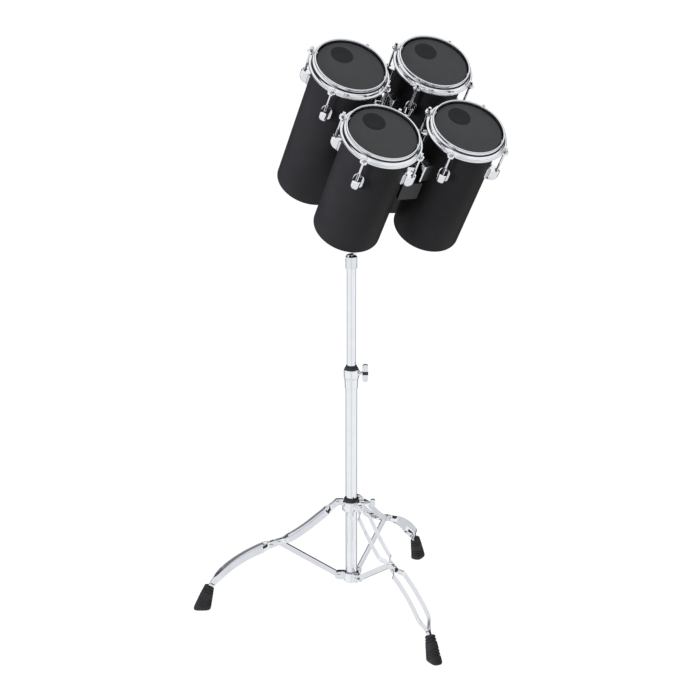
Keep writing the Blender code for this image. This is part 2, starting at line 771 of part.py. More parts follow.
def height_clamp():
    bore = BASE_RADIUS + GAP
    thin = bore + HEIGHT_CLAMP_WALL
    bm = lathe([
        (thin, HEIGHT_CLAMP_BOTTOM),
        (thin + HEIGHT_CLAMP_WALL / 2, HEIGHT_CLAMP_TAPER_TOP),
        (HEIGHT_CLAMP_RADIUS, HEIGHT_CLAMP_TAPER_TOP + HEIGHT_CLAMP_WALL),
        (HEIGHT_CLAMP_RADIUS, BASE_TUBE_TOP - HEIGHT_CLAMP_WALL / 2),
        (HEIGHT_CLAMP_RADIUS - HEIGHT_CLAMP_WALL / 2, BASE_TUBE_TOP),
        (bore, BASE_TUBE_TOP),
        (bore, HEIGHT_CLAMP_BOTTOM),
    ], TUBE_SEGMENTS)
    inside = (bore + HEIGHT_CLAMP_RADIUS) / 2
    boss = sideways(HEIGHT_BOSS_RADIUS, inside, HEIGHT_BOSS_REACH, HEIGHT_BOLT_HEIGHT)
    hole = sideways(
        HEIGHT_BOLT_RADIUS + PIN_CLEARANCE, bore / 2, 2 * HEIGHT_BOSS_REACH, HEIGHT_BOLT_HEIGHT
    )
    return moved(cut(joined(bm, boss), hole), Matrix.Rotation(BOLT_AZIMUTH, 4, "Z"))


def collar_bush():
    """Plastic sleeve between collar and tube. Heights are above the collar's bottom."""
    bore = BASE_RADIUS + BUSH_CLEARANCE
    outer = bore + COLLAR_BUSH_WALL
    seat = COLLAR_TOP - COLLAR_BOTTOM + GAP
    top = seat + COLLAR_BUSH_FLANGE
    bm = lathe([
        (outer, 0.0),
        (outer, seat),
        (COLLAR_BUSH_FLANGE_RADIUS, seat),
        (COLLAR_BUSH_FLANGE_RADIUS, top - COLLAR_BUSH_WALL),
        (outer, top),
        (bore, top),
        (bore, 0.0),
    ], TUBE_SEGMENTS)
    height = COLLAR_BOLT_HEIGHT - COLLAR_BOTTOM
    hole = sideways(COLLAR_BOLT_RADIUS + PIN_CLEARANCE, bore / 2, 2 * outer, height)
    return cut(bm, moved(hole, Matrix.Rotation(BOLT_AZIMUTH, 4, "Z")))


def leg_collar():
    bore = BASE_RADIUS + BUSH_CLEARANCE + COLLAR_BUSH_WALL + GAP
    height = COLLAR_TOP - COLLAR_BOTTOM
    bevel = COLLAR_BUSH_WALL / 2
    bm = lathe([
        (COLLAR_RADIUS - bevel, 0.0),
        (COLLAR_RADIUS, bevel),
        (COLLAR_RADIUS, height - bevel),
        (COLLAR_RADIUS - bevel, height),
        (bore, height),
        (bore, 0.0),
    ], TUBE_SEGMENTS)
    inside = (bore + COLLAR_RADIUS) / 2
    pin = (COLLAR_PIN[0], COLLAR_PIN[1] - COLLAR_BOTTOM)
    for azimuth in LEG_AZIMUTHS:
        turn = Matrix.Rotation(azimuth, 4, "Z")
        outline = stadium((COLLAR_RADIUS, pin[1]), pin, COLLAR_EAR_RADIUS)
        outline = [(max(x, inside), z) for x, z in outline]
        ear = prism(outline, -COLLAR_EAR_THICKNESS / 2, COLLAR_EAR_THICKNESS / 2)
        bm = joined(bm, moved(upright(ear), turn))
    bolt_height = COLLAR_BOLT_HEIGHT - COLLAR_BOTTOM
    boss = sideways(COLLAR_BOSS_RADIUS, inside, COLLAR_BOSS_REACH, bolt_height)
    turn = Matrix.Rotation(BOLT_AZIMUTH, 4, "Z")
    bm = joined(bm, moved(boss, turn))
    hole = sideways(
        COLLAR_BOLT_RADIUS + PIN_CLEARANCE, bore / 2, 2 * COLLAR_BOSS_REACH, bolt_height
    )
    bm = cut(bm, moved(hole, turn))
    for azimuth in LEG_AZIMUTHS:
        turn = Matrix.Rotation(azimuth, 4, "Z")
        low = (pin[0], -COLLAR_EAR_THICKNESS, pin[1])
        high = (pin[0], COLLAR_EAR_THICKNESS, pin[1])
        bm = cut(bm, moved(rod(low, high, LEG_PIN_RADIUS + PIN_CLEARANCE), turn))
    return bm


def hub_ear_inner():
    return BRACE_HALF_WIDTH + GAP


def bottom_hub():
    bore = BASE_RADIUS + GAP
    bevel = HUB_EAR_THICKNESS / 3
    bm = lathe([
        (HUB_RADIUS - bevel, HUB_BOTTOM),
        (HUB_RADIUS, HUB_BOTTOM + bevel),
        (HUB_RADIUS, HUB_TOP - bevel),
        (HUB_RADIUS - bevel, HUB_TOP),
        (bore, HUB_TOP),
        (bore, HUB_BOTTOM),
    ], TUBE_SEGMENTS)
    inside = (bore + HUB_RADIUS) / 2
    inner = hub_ear_inner()
    outer = inner + HUB_EAR_THICKNESS
    for azimuth in LEG_AZIMUTHS:
        turn = Matrix.Rotation(azimuth, 4, "Z")
        outline = stadium((HUB_RADIUS, HUB_PIN[1]), HUB_PIN, HUB_EAR_RADIUS)
        outline = [(max(x, inside), z) for x, z in outline]
        for low, high in ((inner, outer), (-outer, -inner)):
            ear = upright(prism(outline, low, high))
            bm = joined(bm, moved(ear, turn))
    for azimuth in LEG_AZIMUTHS:
        turn = Matrix.Rotation(azimuth, 4, "Z")
        low = (HUB_PIN[0], -2 * outer, HUB_PIN[1])
        high = (HUB_PIN[0], 2 * outer, HUB_PIN[1])
        bm = cut(bm, moved(rod(low, high, LEG_PIN_RADIUS + PIN_CLEARANCE), turn))
    return bm


def brace():
    """Brace of one leg, with its origin on the hub pin."""
    knee = (KNEE_PIN[0] - HUB_PIN[0], KNEE_PIN[1] - HUB_PIN[1])
    outline = stadium((0.0, 0.0), knee, BRACE_HEIGHT / 2)
    inner = BRACE_HALF_WIDTH - BRACE_STRIP
    strips = []
    for low, high in ((inner, BRACE_HALF_WIDTH), (-BRACE_HALF_WIDTH, -inner)):
        strips.append(upright(prism(outline, low, high)))
    shoulder = hub_ear_inner() + HUB_EAR_THICKNESS + GAP
    head = shoulder + LEG_PIN_HEAD
    outline = [
        (0.0, -head),
        (LEG_PIN_HEAD_RADIUS, -head),
        (LEG_PIN_HEAD_RADIUS, -shoulder),
        (LEG_PIN_RADIUS, -shoulder),
        (LEG_PIN_RADIUS, shoulder),
        (LEG_PIN_HEAD_RADIUS, shoulder),
        (LEG_PIN_HEAD_RADIUS, head),
        (0.0, head),
    ]
    pin = upright(lathe(outline, SMALL_SEGMENTS, closed=False))
    half = BRACE_HALF_WIDTH - GAP / 2
    boss = rod((knee[0], -half, knee[1]), (knee[0], half, knee[1]), LEG_PIN_HEAD_RADIUS)
    return joined(strips[0], pin, boss, strips[1])


def leg_line():
    """Centre line of a leg strip, and the distance along it, from the collar pin to the boot."""
    upper = bezier(COLLAR_PIN, COLLAR_SLOPE, KNEE_PIN, KNEE_SLOPE, 0.45, 0.25, STRIP_STEPS)
    lower = bezier(KNEE_PIN, KNEE_SLOPE, NECK, FOOT_SLOPE, 0.40, 0.25, STRIP_STEPS)
    points = upper + lower[1:]
    tail = Vector((cos(FOOT_SLOPE), -sin(FOOT_SLOPE))) * (BOOT_POCKET - 2 * GAP)
    points.append(points[-1] + tail)
    distances = [0.0]
    for a, b in zip(points, points[1:]):
        distances.append(distances[-1] + (b - a).length)
    return points, distances


def leg_strip(side):
    """One strip of a leg, with its origin on the collar pin. Side +1 is the strip without pins."""
    points, distances = leg_line()
    knee = distances[STRIP_STEPS]
    neck = distances[-2]
    together = STRIP_TOGETHER
    foot = STRIP_FOOT_GAP / 2 + STRIP_THICKNESS / 2
    spread = [
        (0.0, together),
        (COLLAR_STRAIGHT, together),
        (COLLAR_STRAIGHT + JOGGLE_LENGTH, STRIP_SPREAD),
        (knee - KNEE_STRAIGHT_ABOVE - JOGGLE_LENGTH, STRIP_SPREAD),
        (knee - KNEE_STRAIGHT_ABOVE, together),
        (knee + KNEE_STRAIGHT_BELOW, together),
        (knee + KNEE_STRAIGHT_BELOW + JOGGLE_LENGTH, STRIP_SPREAD),
        (neck - FOOT_TAPER, STRIP_SPREAD),
        (neck - NECK_STRAIGHT, foot),
        (distances[-1], foot),
    ]
    heights = [
        (0.0, STRIP_HEIGHT_UPPER),
        (knee - KNEE_STRAIGHT_ABOVE, STRIP_HEIGHT_UPPER),
        (knee + KNEE_STRAIGHT_BELOW, STRIP_HEIGHT_LOWER),
        (neck - FOOT_TAPER, STRIP_HEIGHT_LOWER),
        (distances[-1], STRIP_HEIGHT_UPPER),
    ]
    marks = set(distances)
    for place, _ in spread:
        marks.add(place)
    marks = sorted(marks)
    kept = [marks[0]]
    for mark in marks[1:]:
        if mark - kept[-1] > 4 * GAP:
            kept.append(mark)
    kept[-1] = distances[-1]
    round_end = STRIP_HEIGHT_UPPER / 2
    stations = []
    for share in (1.0, 0.75, 0.4):
        stations.append((-round_end * share, sqrt(1 - share * share) if share < 1 else 0.25))
    for mark in kept:
        stations.append((mark, 1.0))
    rings = []
    for place, scale in stations:
        spot, heading = at_distance(points, distances, place)
        off = side * interpolate(spread, max(place, 0.0))
        half = interpolate(heights, max(place, 0.0)) / 2 * scale
        across = Vector((-heading.y, heading.x)) * half
        low = off - STRIP_THICKNESS / 2
        high = off + STRIP_THICKNESS / 2
        x, z = spot.x - COLLAR_PIN[0], spot.y - COLLAR_PIN[1]
        rings.append([
            Vector((x - across.x, low, z - across.y)),
            Vector((x - across.x, high, z - across.y)),
            Vector((x + across.x, high, z + across.y)),
            Vector((x + across.x, low, z + across.y)),
        ])
    bm = loft(rings)
    knee_spot = (KNEE_PIN[0] - COLLAR_PIN[0], KNEE_PIN[1] - COLLAR_PIN[1])
    spacer = (knee_spot[0] + SPACER_OFFSET[0], knee_spot[1] + SPACER_OFFSET[1])
    face = together + STRIP_THICKNESS / 2
    inner = together - STRIP_THICKNESS / 2
    # The knee rivet's head on the outside of each strip: its shank is the brace's boss
    rivet = rod(
        (knee_spot[0], side * (face - GAP), knee_spot[1]),
        (knee_spot[0], side * (face + LEG_PIN_HEAD), knee_spot[1]),
        LEG_PIN_HEAD_RADIUS,
    )
    bm = joined(bm, rivet)
    if side > 0:
        for (x, z), radius in (((0.0, 0.0), LEG_PIN_RADIUS), (spacer, SPACER_PIN_RADIUS)):
            hole = rod((x, 0.0, z), (x, 2 * face, z), radius + PIN_CLEARANCE)
            bm = cut(bm, hole)
        return bm
    outline = [
        (0.0, -face - LEG_PIN_HEAD),
        (LEG_PIN_HEAD_RADIUS, -face - LEG_PIN_HEAD),
        (LEG_PIN_HEAD_RADIUS, -face + GAP),
        (LEG_PIN_RADIUS, -face + GAP),
        (LEG_PIN_RADIUS, face + GAP),
        (LEG_PIN_HEAD_RADIUS, face + GAP),
        (LEG_PIN_HEAD_RADIUS, face + GAP + LEG_PIN_HEAD),
        (0.0, face + GAP + LEG_PIN_HEAD),
    ]
    pin = moved(lathe(outline, SMALL_SEGMENTS, closed=False), Matrix.Rotation(-pi / 2, 4, "X"))
    outline = [
        (0.0, -face + GAP),
        (SPACER_RADIUS, -face + GAP),
        (SPACER_RADIUS, inner - GAP),
        (SPACER_PIN_RADIUS, inner - GAP),
        (SPACER_PIN_RADIUS, face + GAP),
        (SPACER_RADIUS, face + GAP),
        (SPACER_RADIUS, face + GAP + LEG_PIN_HEAD),
        (0.0, face + GAP + LEG_PIN_HEAD),
    ]
    stay = moved(lathe(outline, SMALL_SEGMENTS, closed=False), Matrix.Rotation(-pi / 2, 4, "X"))
    stay = moved(stay, Matrix.Translation((spacer[0], 0.0, spacer[1])))
    return joined(bm, pin, stay)


def at_distance(points, distances, place):
    """Spot and heading on the leg's centre line."""
    for i in range(len(points) - 1):
        if place <= distances[i + 1] or i == len(points) - 2:
            heading = (points[i + 1] - points[i]).normalized()
            return points[i] + heading * (place - distances[i]), heading


def rubber_boot(floor):
    """Ribbed boot over the strips' ends, in the leg's frame. Floor is the ground's height there."""
    top = Vector(BOOT_TOP) - Vector(COLLAR_PIN)
    bottom = Vector(BOOT_BOTTOM) - Vector(COLLAR_PIN)
    along = bottom - top
    length = along.length
    along = along.normalized()
    across = Vector((-along.y, along.x))
    stations = [(0.0, -2 * BOOT_GROOVE_DEPTH), (0.05, 0.0)]
    for place in BOOT_GROOVES:
        half = BOOT_GROOVE_DEPTH * 1.2 / length
        stations.append((place - half, 0.0))
        stations.append((place, -BOOT_GROOVE_DEPTH))
        stations.append((place + half, 0.0))
    stations.append((1.0 - BOOT_SOLE / length / 2, -BOOT_GROOVE_DEPTH))
    stations.append((1.0 + BOOT_SOLE / length / 2, -BOOT_SOLE))
    rings = []
    for share, inset in stations:
        centre = top + along * length * share
        a = (BOOT_TOP_LENGTH + (BOOT_BOTTOM_LENGTH - BOOT_TOP_LENGTH) * share) / 2 + inset
        b = (BOOT_TOP_WIDTH + (BOOT_BOTTOM_WIDTH - BOOT_TOP_WIDTH) * share) / 2 + inset
        ring = []
        for i in range(SMALL_SEGMENTS):
            angle = 2 * pi * (i + 0.5) / SMALL_SEGMENTS
            u = abs(cos(angle)) ** 0.6 * (1 if cos(angle) > 0 else -1)
            v = abs(sin(angle)) ** 0.6 * (1 if sin(angle) > 0 else -1)
            spot = centre + across * a * u
            ring.append(Vector((spot.x, b * v, spot.y)))
        rings.append(ring)
    bm = loft(rings)
    wide = 2 * BOOT_BOTTOM_LENGTH
    ground = block(
        (top.x - wide, -wide, floor - wide),
        (bottom.x + wide, wide, floor),
    )
    bm = cut(bm, ground)
    half_height = STRIP_HEIGHT_LOWER / 2 + GAP
    half_width = STRIP_FOOT_GAP / 2 + STRIP_THICKNESS + GAP
    neck = Vector(NECK) - Vector(COLLAR_PIN)
    heading = Vector((cos(FOOT_SLOPE), -sin(FOOT_SLOPE)))
    side = Vector((-heading.y, heading.x))
    rings = []
    for place in (-BOOT_POCKET, BOOT_POCKET):
        spot = neck + heading * place
        a = spot + side * half_height
        b = spot - side * half_height
        rings.append([
            Vector((a.x, -half_width, a.y)),
            Vector((a.x, half_width, a.y)),
            Vector((b.x, half_width, b.y)),
            Vector((b.x, -half_width, b.y)),
        ])
    return cut(bm, loft(rings))


def drum(name, spec, cluster, finishes):
    axis = empty(
        name + "_drum_axis",
        cluster,
        Matrix.Translation((spec["column"] * GRID_PITCH / 2, spec["row"] * GRID_PITCH / 2, 0.0)),
    )
    piece(name + "_shell", drum_shell(spec["length"]), axis, finishes["shell"])
    piece(name + "_head", drum_head(), axis, finishes["head"])
    piece(name + "_hoop", counter_hoop(), axis, finishes["chrome"])
    for number, degree in enumerate(LUG_ANGLES, start=1):
        bm = moved(tension_lug(), Matrix.Rotation(radians(degree), 4, "Z"))
        piece(name + "_lug_%d" % number, bm, axis, finishes["chrome"])
    inward = -spec["column"] * POST_OFFSET_ACROSS
    turn = Matrix.Rotation(atan2(-POST_OFFSET_FORWARD, inward), 4, "Z")
    piece(name + "_clamp", moved(clamp_block(), turn), axis, finishes["chrome"])


def build():
    clear_scene()
    finishes = {
        "shell": material("shell_black", (0.018, 0.018, 0.020), 0.45, 0.0),
        "head": material("head_grey", (0.060, 0.068, 0.072), 0.40, 0.0),
        "chrome": material("chrome", (0.80, 0.81, 0.83), 0.08, 1.0),
        "frame": material("frame_black", (0.015, 0.015, 0.016), 0.50, 0.0),
        "plastic": material("bush_black", (0.020, 0.020, 0.022), 0.40, 0.0),
        "rubber": material("boot_rubber", (0.030, 0.030, 0.032), 0.70, 0.0),
    }
    chrome = finishes["chrome"]
    root = empty("octoban_origin")

    piece("base_tube", base_tube(), root, chrome)
    piece("bottom_hub", bottom_hub(), root, chrome)
    piece("height_clamp", height_clamp(), root, chrome)
    piece("height_bush", height_bush(), root, finishes["plastic"])
    bolt_turn = Matrix.Rotation(BOLT_AZIMUTH, 4, "Z")
    height_axis = empty(
        "height_wing_bolt_axis", root, Matrix.Translation((0.0, 0.0, HEIGHT_BOLT_HEIGHT)) @ bolt_turn
    )
    tip = UPPER_RADIUS + GAP
    bolt = wing_bolt(tip, HEIGHT_BOLT_RADIUS, HEIGHT_WING)
    piece("height_wing_bolt", bolt, height_axis, chrome)

    collar_axis = empty("leg_collar_slide", root, Matrix.Translation((0.0, 0.0, COLLAR_BOTTOM)))
    piece("leg_collar", leg_collar(), collar_axis, chrome)
    piece("collar_bush", collar_bush(), collar_axis, finishes["plastic"])
    bolt_height = COLLAR_BOLT_HEIGHT - COLLAR_BOTTOM
    collar_bolt_axis = empty(
        "collar_wing_bolt_axis", collar_axis, Matrix.Translation((0.0, 0.0, bolt_height)) @ bolt_turn
    )
    bolt = wing_bolt(BASE_RADIUS + GAP, COLLAR_BOLT_RADIUS, COLLAR_WING)
    piece("collar_wing_bolt", bolt, collar_bolt_axis, chrome)

    for name, azimuth in zip(LEG_NAMES, LEG_AZIMUTHS):
        turn = Matrix.Rotation(azimuth, 4, "Z")
        pin = Vector((COLLAR_PIN[0], 0.0, COLLAR_PIN[1] - COLLAR_BOTTOM))
        leg_axis = empty(name + "_hinge", collar_axis, turn @ Matrix.Translation(pin))
        piece(name + "_strip_a", leg_strip(1), leg_axis, chrome)
        piece(name + "_strip_b", leg_strip(-1), leg_axis, chrome)
        piece(name + "_boot", rubber_boot(-COLLAR_PIN[1]), leg_axis, finishes["rubber"])
        pin = Vector((HUB_PIN[0], 0.0, HUB_PIN[1]))
        brace_axis = empty(name + "_brace_hinge", root, turn @ Matrix.Translation(pin))
        piece(name + "_brace", brace(), brace_axis, chrome)

    upper_axis = empty("upper_tube_slide", root)
    tube_top = SLEEVE_TOP - GAP
    piece("upper_tube", upper_tube(tube_top), upper_axis, chrome)
    pivot = Matrix.Translation((0.0, 0.0, PIVOT_HEIGHT)) @ Matrix.Rotation(SWIVEL, 4, "Z")
    swivel_axis = empty("tilter_swivel", upper_axis, pivot)
    piece("tilter_base", tilter_base(), swivel_axis, chrome)
    bolt_axis = empty("tilter_wing_bolt_axis", swivel_axis)
    bolt = wing_bolt(-DISC_THICKNESS, TILTER_BOLT_RADIUS, TILTER_WING)
    piece("tilter_wing_bolt", bolt, bolt_axis, chrome)
    tilt_axis = empty("tilter_hinge", swivel_axis, Matrix.Rotation(TILT, 4, "X"))
    piece("tilter_head", tilter_head(), tilt_axis, chrome)

    shortest = min(spec["length"] for spec in DRUMS.values())
    arm_top = -shortest - ARM_DROP
    arm_bottom = arm_top - ARM_THICKNESS
    place = Matrix.Rotation(FRAME_TURN, 4, "Z") @ Matrix.Translation(
        (-PIVOT_COLUMN, -PIVOT_ROW, PIVOT_DROP - arm_bottom)
    )
    cluster = empty("drum_cluster", tilt_axis, place)
    piece("frame_stem", frame_stem(arm_top), cluster, finishes["frame"])
    piece("front_bridge", bridge(-1), cluster, finishes["frame"])
    piece("back_bridge", bridge(1), cluster, finishes["frame"])
    for name, spec in DRUMS.items():
        drum(name, spec, cluster, finishes)

    bpy.context.view_layer.update()
    corners = []
    for thing in bpy.data.objects:
        if thing.type == "MESH":
            corners.extend(thing.matrix_world @ vertex.co for vertex in thing.data.vertices)
    middle_x = (min(c.x for c in corners) + max(c.x for c in corners)) / 2
    middle_y = (min(c.y for c in corners) + max(c.y for c in corners)) / 2
    root.location = (-middle_x, -middle_y, 0.0)
    bpy.context.view_layer.update()


build()
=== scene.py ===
"""Looks of four octobans on a folding stand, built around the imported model. Metres, +Z up."""

import json
from math import atan2, cos, pi, radians, sin, sqrt, tan

import bmesh
import bpy
from mathutils import Matrix, Vector


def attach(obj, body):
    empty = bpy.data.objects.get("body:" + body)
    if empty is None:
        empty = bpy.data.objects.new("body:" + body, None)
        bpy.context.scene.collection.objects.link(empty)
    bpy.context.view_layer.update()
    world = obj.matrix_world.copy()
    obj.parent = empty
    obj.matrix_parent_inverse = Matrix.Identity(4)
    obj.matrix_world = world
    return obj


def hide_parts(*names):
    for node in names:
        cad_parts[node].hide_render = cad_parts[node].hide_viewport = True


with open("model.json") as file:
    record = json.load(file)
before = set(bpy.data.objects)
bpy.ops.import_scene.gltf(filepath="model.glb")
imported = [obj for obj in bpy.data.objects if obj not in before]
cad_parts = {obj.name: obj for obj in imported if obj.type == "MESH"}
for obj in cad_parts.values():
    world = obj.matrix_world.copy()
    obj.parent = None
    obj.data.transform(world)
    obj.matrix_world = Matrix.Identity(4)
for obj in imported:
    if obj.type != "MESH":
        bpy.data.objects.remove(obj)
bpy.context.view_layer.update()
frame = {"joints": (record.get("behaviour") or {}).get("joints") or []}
joints = {joint["name"]: joint for joint in frame["joints"]}
mm = 0.001

# Facets of round pieces
ROUND = 128
TUBE = 72
SMALL = 28

# Drums
SHELL_RADIUS = 73.0 * mm
SHELL_WALL = 5.0 * mm
GRID = 196.0 * mm
LENGTHS = {
    "front_left": 280.0 * mm,
    "front_right": 301.0 * mm,
    "back_right": 390.0 * mm,
    "back_left": 343.0 * mm,
}
SIDES = {"front_left": (-1, -1), "front_right": (1, -1), "back_right": (1, 1), "back_left": (-1, 1)}
LUG_ANGLES = (45.0, 135.0, 225.0, 315.0)
ROD_CIRCLE = 89.5 * mm
LUG_TOP = -62.5 * mm
PATCH_CENTRE = (-6.8 * mm, 34.6 * mm)
PATCH_RADIUS = 24.5 * mm

# Frame between the drums
TILT = radians(35.8)
SWIVEL = radians(26.8)
FRAME_TURN = radians(-2.0)
PIVOT_HEIGHT = 850.0 * mm
PIVOT_SPOT = (-74.5 * mm, -100.5 * mm)
PIVOT_DROP = 30.0 * mm
ARM_TOP = -288.0 * mm
ARM_BOTTOM = -294.0 * mm
POST_FORWARD = 20.0 * mm
POST_ACROSS = 81.0 * mm
BOLT_AZIMUTH = radians(1.5)

# Tripod, in each leg's own plane
LEGS = {"left_leg": radians(181.5), "right_back_leg": radians(61.5), "right_front_leg": radians(-58.5)}
COLLAR_PIN = Vector((31.2 * mm, 255.3 * mm))
KNEE_PIN = Vector((162.4 * mm, 161.2 * mm))
HUB_PIN = Vector((28.4 * mm, 80.5 * mm))
NECK = Vector((318.0 * mm, 52.0 * mm))
NECK_SLOPE = radians(63)
COLLAR_BOTTOM = 236.0 * mm
HEIGHT_BOLT = 554.5 * mm

# Boot bands: how far down the boot each lies, and how far it dips at the sides
BANDS = ((0.13, 0.02), (0.23, 0.02), (0.62, 0.13), (0.72, 0.13), (0.82, 0.13))

# Camera, from the column
CAMERA_SIDE = -0.0030
CAMERA_BACK = 4.1589
CAMERA_HEIGHT = 1.8302
CAMERA_DIP = 0.2860
LENS = 102.36

tilter_spot = Vector(joints["tilter_tilt"]["pos_m"])
COLUMN = Matrix.Translation((tilter_spot.x, tilter_spot.y, 0.0))
PIVOT = COLUMN @ Matrix.Translation((0.0, 0.0, PIVOT_HEIGHT)) @ Matrix.Rotation(SWIVEL, 4, "Z")
HEAD = PIVOT @ Matrix.Rotation(TILT, 4, "X")
CLUSTER = HEAD @ Matrix.Rotation(FRAME_TURN, 4, "Z") @ Matrix.Translation(
    (-PIVOT_SPOT[0], -PIVOT_SPOT[1], PIVOT_DROP - ARM_BOTTOM)
)


# Mesh tools

def loft(rings, closed=False):
    """Skins equal rings. A ring of one point closes that end, and an open end is capped."""
    bm = bmesh.new()
    rows = [[bm.verts.new(point) for point in ring] for ring in rings]
    pairs = list(zip(rows, rows[1:]))
    if closed:
        pairs.append((rows[-1], rows[0]))
    for low, high in pairs:
        count = max(len(low), len(high))
        if count == 1:
            continue
        for i in range(count):
            j = (i + 1) % count
            corners = [low[i % len(low)]]
            if len(low) > 1:
                corners.append(low[j])
            if len(high) > 1:
                corners.append(high[j])
            corners.append(high[i % len(high)])
            bm.faces.new(corners)
    if not closed:
        for end in (rows[0], rows[-1]):
            if len(end) > 2:
                bm.faces.new(end)
    bmesh.ops.recalc_face_normals(bm, faces=bm.faces)
    return bm


def rounded(outline, radius, steps=3, closed=True):
    """Rounds an outline's corners. A corner may carry its own radius as a third number."""
    points = []
    count = len(outline)
    for i, corner in enumerate(outline):
        here = Vector(corner[:2])
        own = corner[2] if len(corner) > 2 else radius
        if own <= 0 or (not closed and i in (0, count - 1)):
            points.append(here)
            continue
        before = Vector(outline[i - 1][:2]) - here
        after = Vector(outline[(i + 1) % count][:2]) - here
        half = before.angle(after, pi) / 2
        if half > pi / 2 - 0.02:
            points.append(here)
            continue
        reach = min(own / tan(half), before.length * 0.48, after.length * 0.48)
        start = here + before.normalized() * reach
        end = here + after.normalized() * reach
        for k in range(steps + 1):
            t = k / steps
            points.append(start * (1 - t) ** 2 + here * 2 * t * (1 - t) + end * t * t)
    return [(p.x, p.y) for p in points]


def lathe(outline, segments=TUBE, closed=True):
    rings = []
    for radius, height in outline:
        if radius < 1e-7:
            rings.append([Vector((0.0, 0.0, height))])
            continue
        step = 2 * pi / segments
        spots = [(cos(i * step) * radius, sin(i * step) * radius) for i in range(segments)]
        rings.append([Vector((x, y, height)) for x, y in spots])
    return loft(rings, closed)


def prism(outline, low, high):
    return loft([[Vector((x, y, z)) for x, y in outline] for z in (low, high)])


def rod(start, end, radius, segments=SMALL):
    start, end = Vector(start), Vector(end)
    along = end - start
    bm = lathe([(radius, 0.0), (radius, along.length)], segments, closed=False)
    turn = along.to_track_quat("Z", "Y").to_matrix().to_4x4()
    return moved(bm, Matrix.Translation(start) @ turn)


def block(low, high):
    outline = [(low[0], low[1]), (high[0], low[1]), (high[0], high[1]), (low[0], high[1])]
    return prism(outline, low[2], high[2])


def moved(bm, matrix):
    bmesh.ops.transform(bm, matrix=matrix, verts=bm.verts)
    return bm


def upright(bm):
    """Lays an (x, y) outline into the XZ plane."""
    return moved(bm, Matrix.Rotation(pi / 2, 4, "X"))


def merged(first, *others):
    """Puts meshes that lie side by side into one, without cutting them."""
    for other in others:
        mesh = bpy.data.meshes.new("merge_work")
        other.to_mesh(mesh)
        other.free()
        first.from_mesh(mesh)
        bpy.data.meshes.remove(mesh)
    return first


def combine(first, second, operation):
    things = []
    for bm in (first, second):
        bmesh.ops.recalc_face_normals(bm, faces=bm.faces)
        mesh = bpy.data.meshes.new("boolean_work")
        bm.to_mesh(mesh)
        bm.free()
        thing = bpy.data.objects.new("boolean_work", mesh)
        bpy.context.scene.collection.objects.link(thing)
        things.append(thing)
    target, tool = things
    step = target.modifiers.new("step", "BOOLEAN")
    step.object = tool
    step.operation = operation
    step.solver = "EXACT"
    result = bmesh.new()
    result.from_object(target, bpy.context.evaluated_depsgraph_get())
    for thing in things:
        mesh = thing.data
        bpy.data.objects.remove(thing, do_unlink=True)
        bpy.data.meshes.remove(mesh)
    bmesh.ops.remove_doubles(result, verts=result.verts, dist=1e-6)
    return result


def joined(first, *others):
    for other in others:
        first = combine(first, other, "UNION")
    return first


def cut(first, *others):
    for other in others:
        first = combine(first, other, "DIFFERENCE")
    return first


def stadium(start, end, radius, steps=12):
    heading = atan2(end[1] - start[1], end[0] - start[0])
    points = []
    for centre, first in ((end, heading - pi / 2), (start, heading + pi / 2)):
        for i in range(steps + 1):
            angle = first + pi * i / steps
            points.append((centre[0] + radius * cos(angle), centre[1] + radius * sin(angle)))
    return points


def mesh_of(name, bm, finish, sharp=38.0):
    bmesh.ops.recalc_face_normals(bm, faces=bm.faces)
    mesh = bpy.data.meshes.new(name)
    bm.to_mesh(mesh)
    bm.free()
    mesh.materials.append(finish)
    mesh.shade_smooth()
    mesh.set_sharp_from_angle(angle=radians(sharp))
    return mesh


def place(name, mesh, matrix, body, nodes=(), bevel=0.0, bevel_steps=2):
    """One visible piece: where it is, what it rides on and what it stands for."""
    mesh = mesh.copy()
    mesh.transform(matrix)
    piece = bpy.data.objects.new(name, mesh)
    bpy.context.scene.collection.objects.link(piece)
    if bevel > 0:
        soften = piece.modifiers.new("soften", "BEVEL")
        soften.width = bevel
        soften.segments = bevel_steps
        soften.limit_method = "ANGLE"
        soften.angle_limit = radians(38)
        soften.harden_normals = True
    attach(piece, body)
    if nodes:
        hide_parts(*nodes)
    return piece


# Materials

def link(tree, source, target):
    tree.links.new(source, target)


def add_node(tree, kind, **settings):
    node = tree.nodes.new(kind)
    for key, value in settings.items():
        if key in node.inputs:
            node.inputs[key].default_value = value
        else:
            setattr(node, key, value)
    return node


def noise(tree, scale, detail=3.0, stretch=(1.0, 1.0, 1.0)):
    where = add_node(tree, "ShaderNodeTexCoord")
    squeeze = add_node(tree, "ShaderNodeMapping")
    squeeze.inputs["Scale"].default_value = stretch
    texture = add_node(tree, "ShaderNodeTexNoise")
    texture.inputs["Scale"].default_value = scale
    texture.inputs["Detail"].default_value = detail
    link(tree, where.outputs["Object"], squeeze.inputs["Vector"])
    link(tree, squeeze.outputs["Vector"], texture.inputs["Vector"])
    return texture.outputs["Fac"]


def ramp(tree, value, stops):
    node = add_node(tree, "ShaderNodeValToRGB")
    elements = node.color_ramp.elements
    while len(elements) < len(stops):
        elements.new(0.5)
    for element, (spot, colour) in zip(elements, stops):
        element.position = spot
        element.color = (*colour, 1.0)
    link(tree, value, node.inputs["Fac"])
    return node.outputs["Color"]


def spread(tree, value, low, high):
    node = add_node(tree, "ShaderNodeMapRange")
    node.inputs["To Min"].default_value = low
    node.inputs["To Max"].default_value = high
    link(tree, value, node.inputs["Value"])
    return node.outputs["Result"]


def bumped(tree, shader, height, strength, distance):
    node = add_node(tree, "ShaderNodeBump")
    node.inputs["Strength"].default_value = strength
    node.inputs["Distance"].default_value = distance
    link(tree, height, node.inputs["Height"])
    link(tree, node.outputs["Normal"], shader.inputs["Normal"])


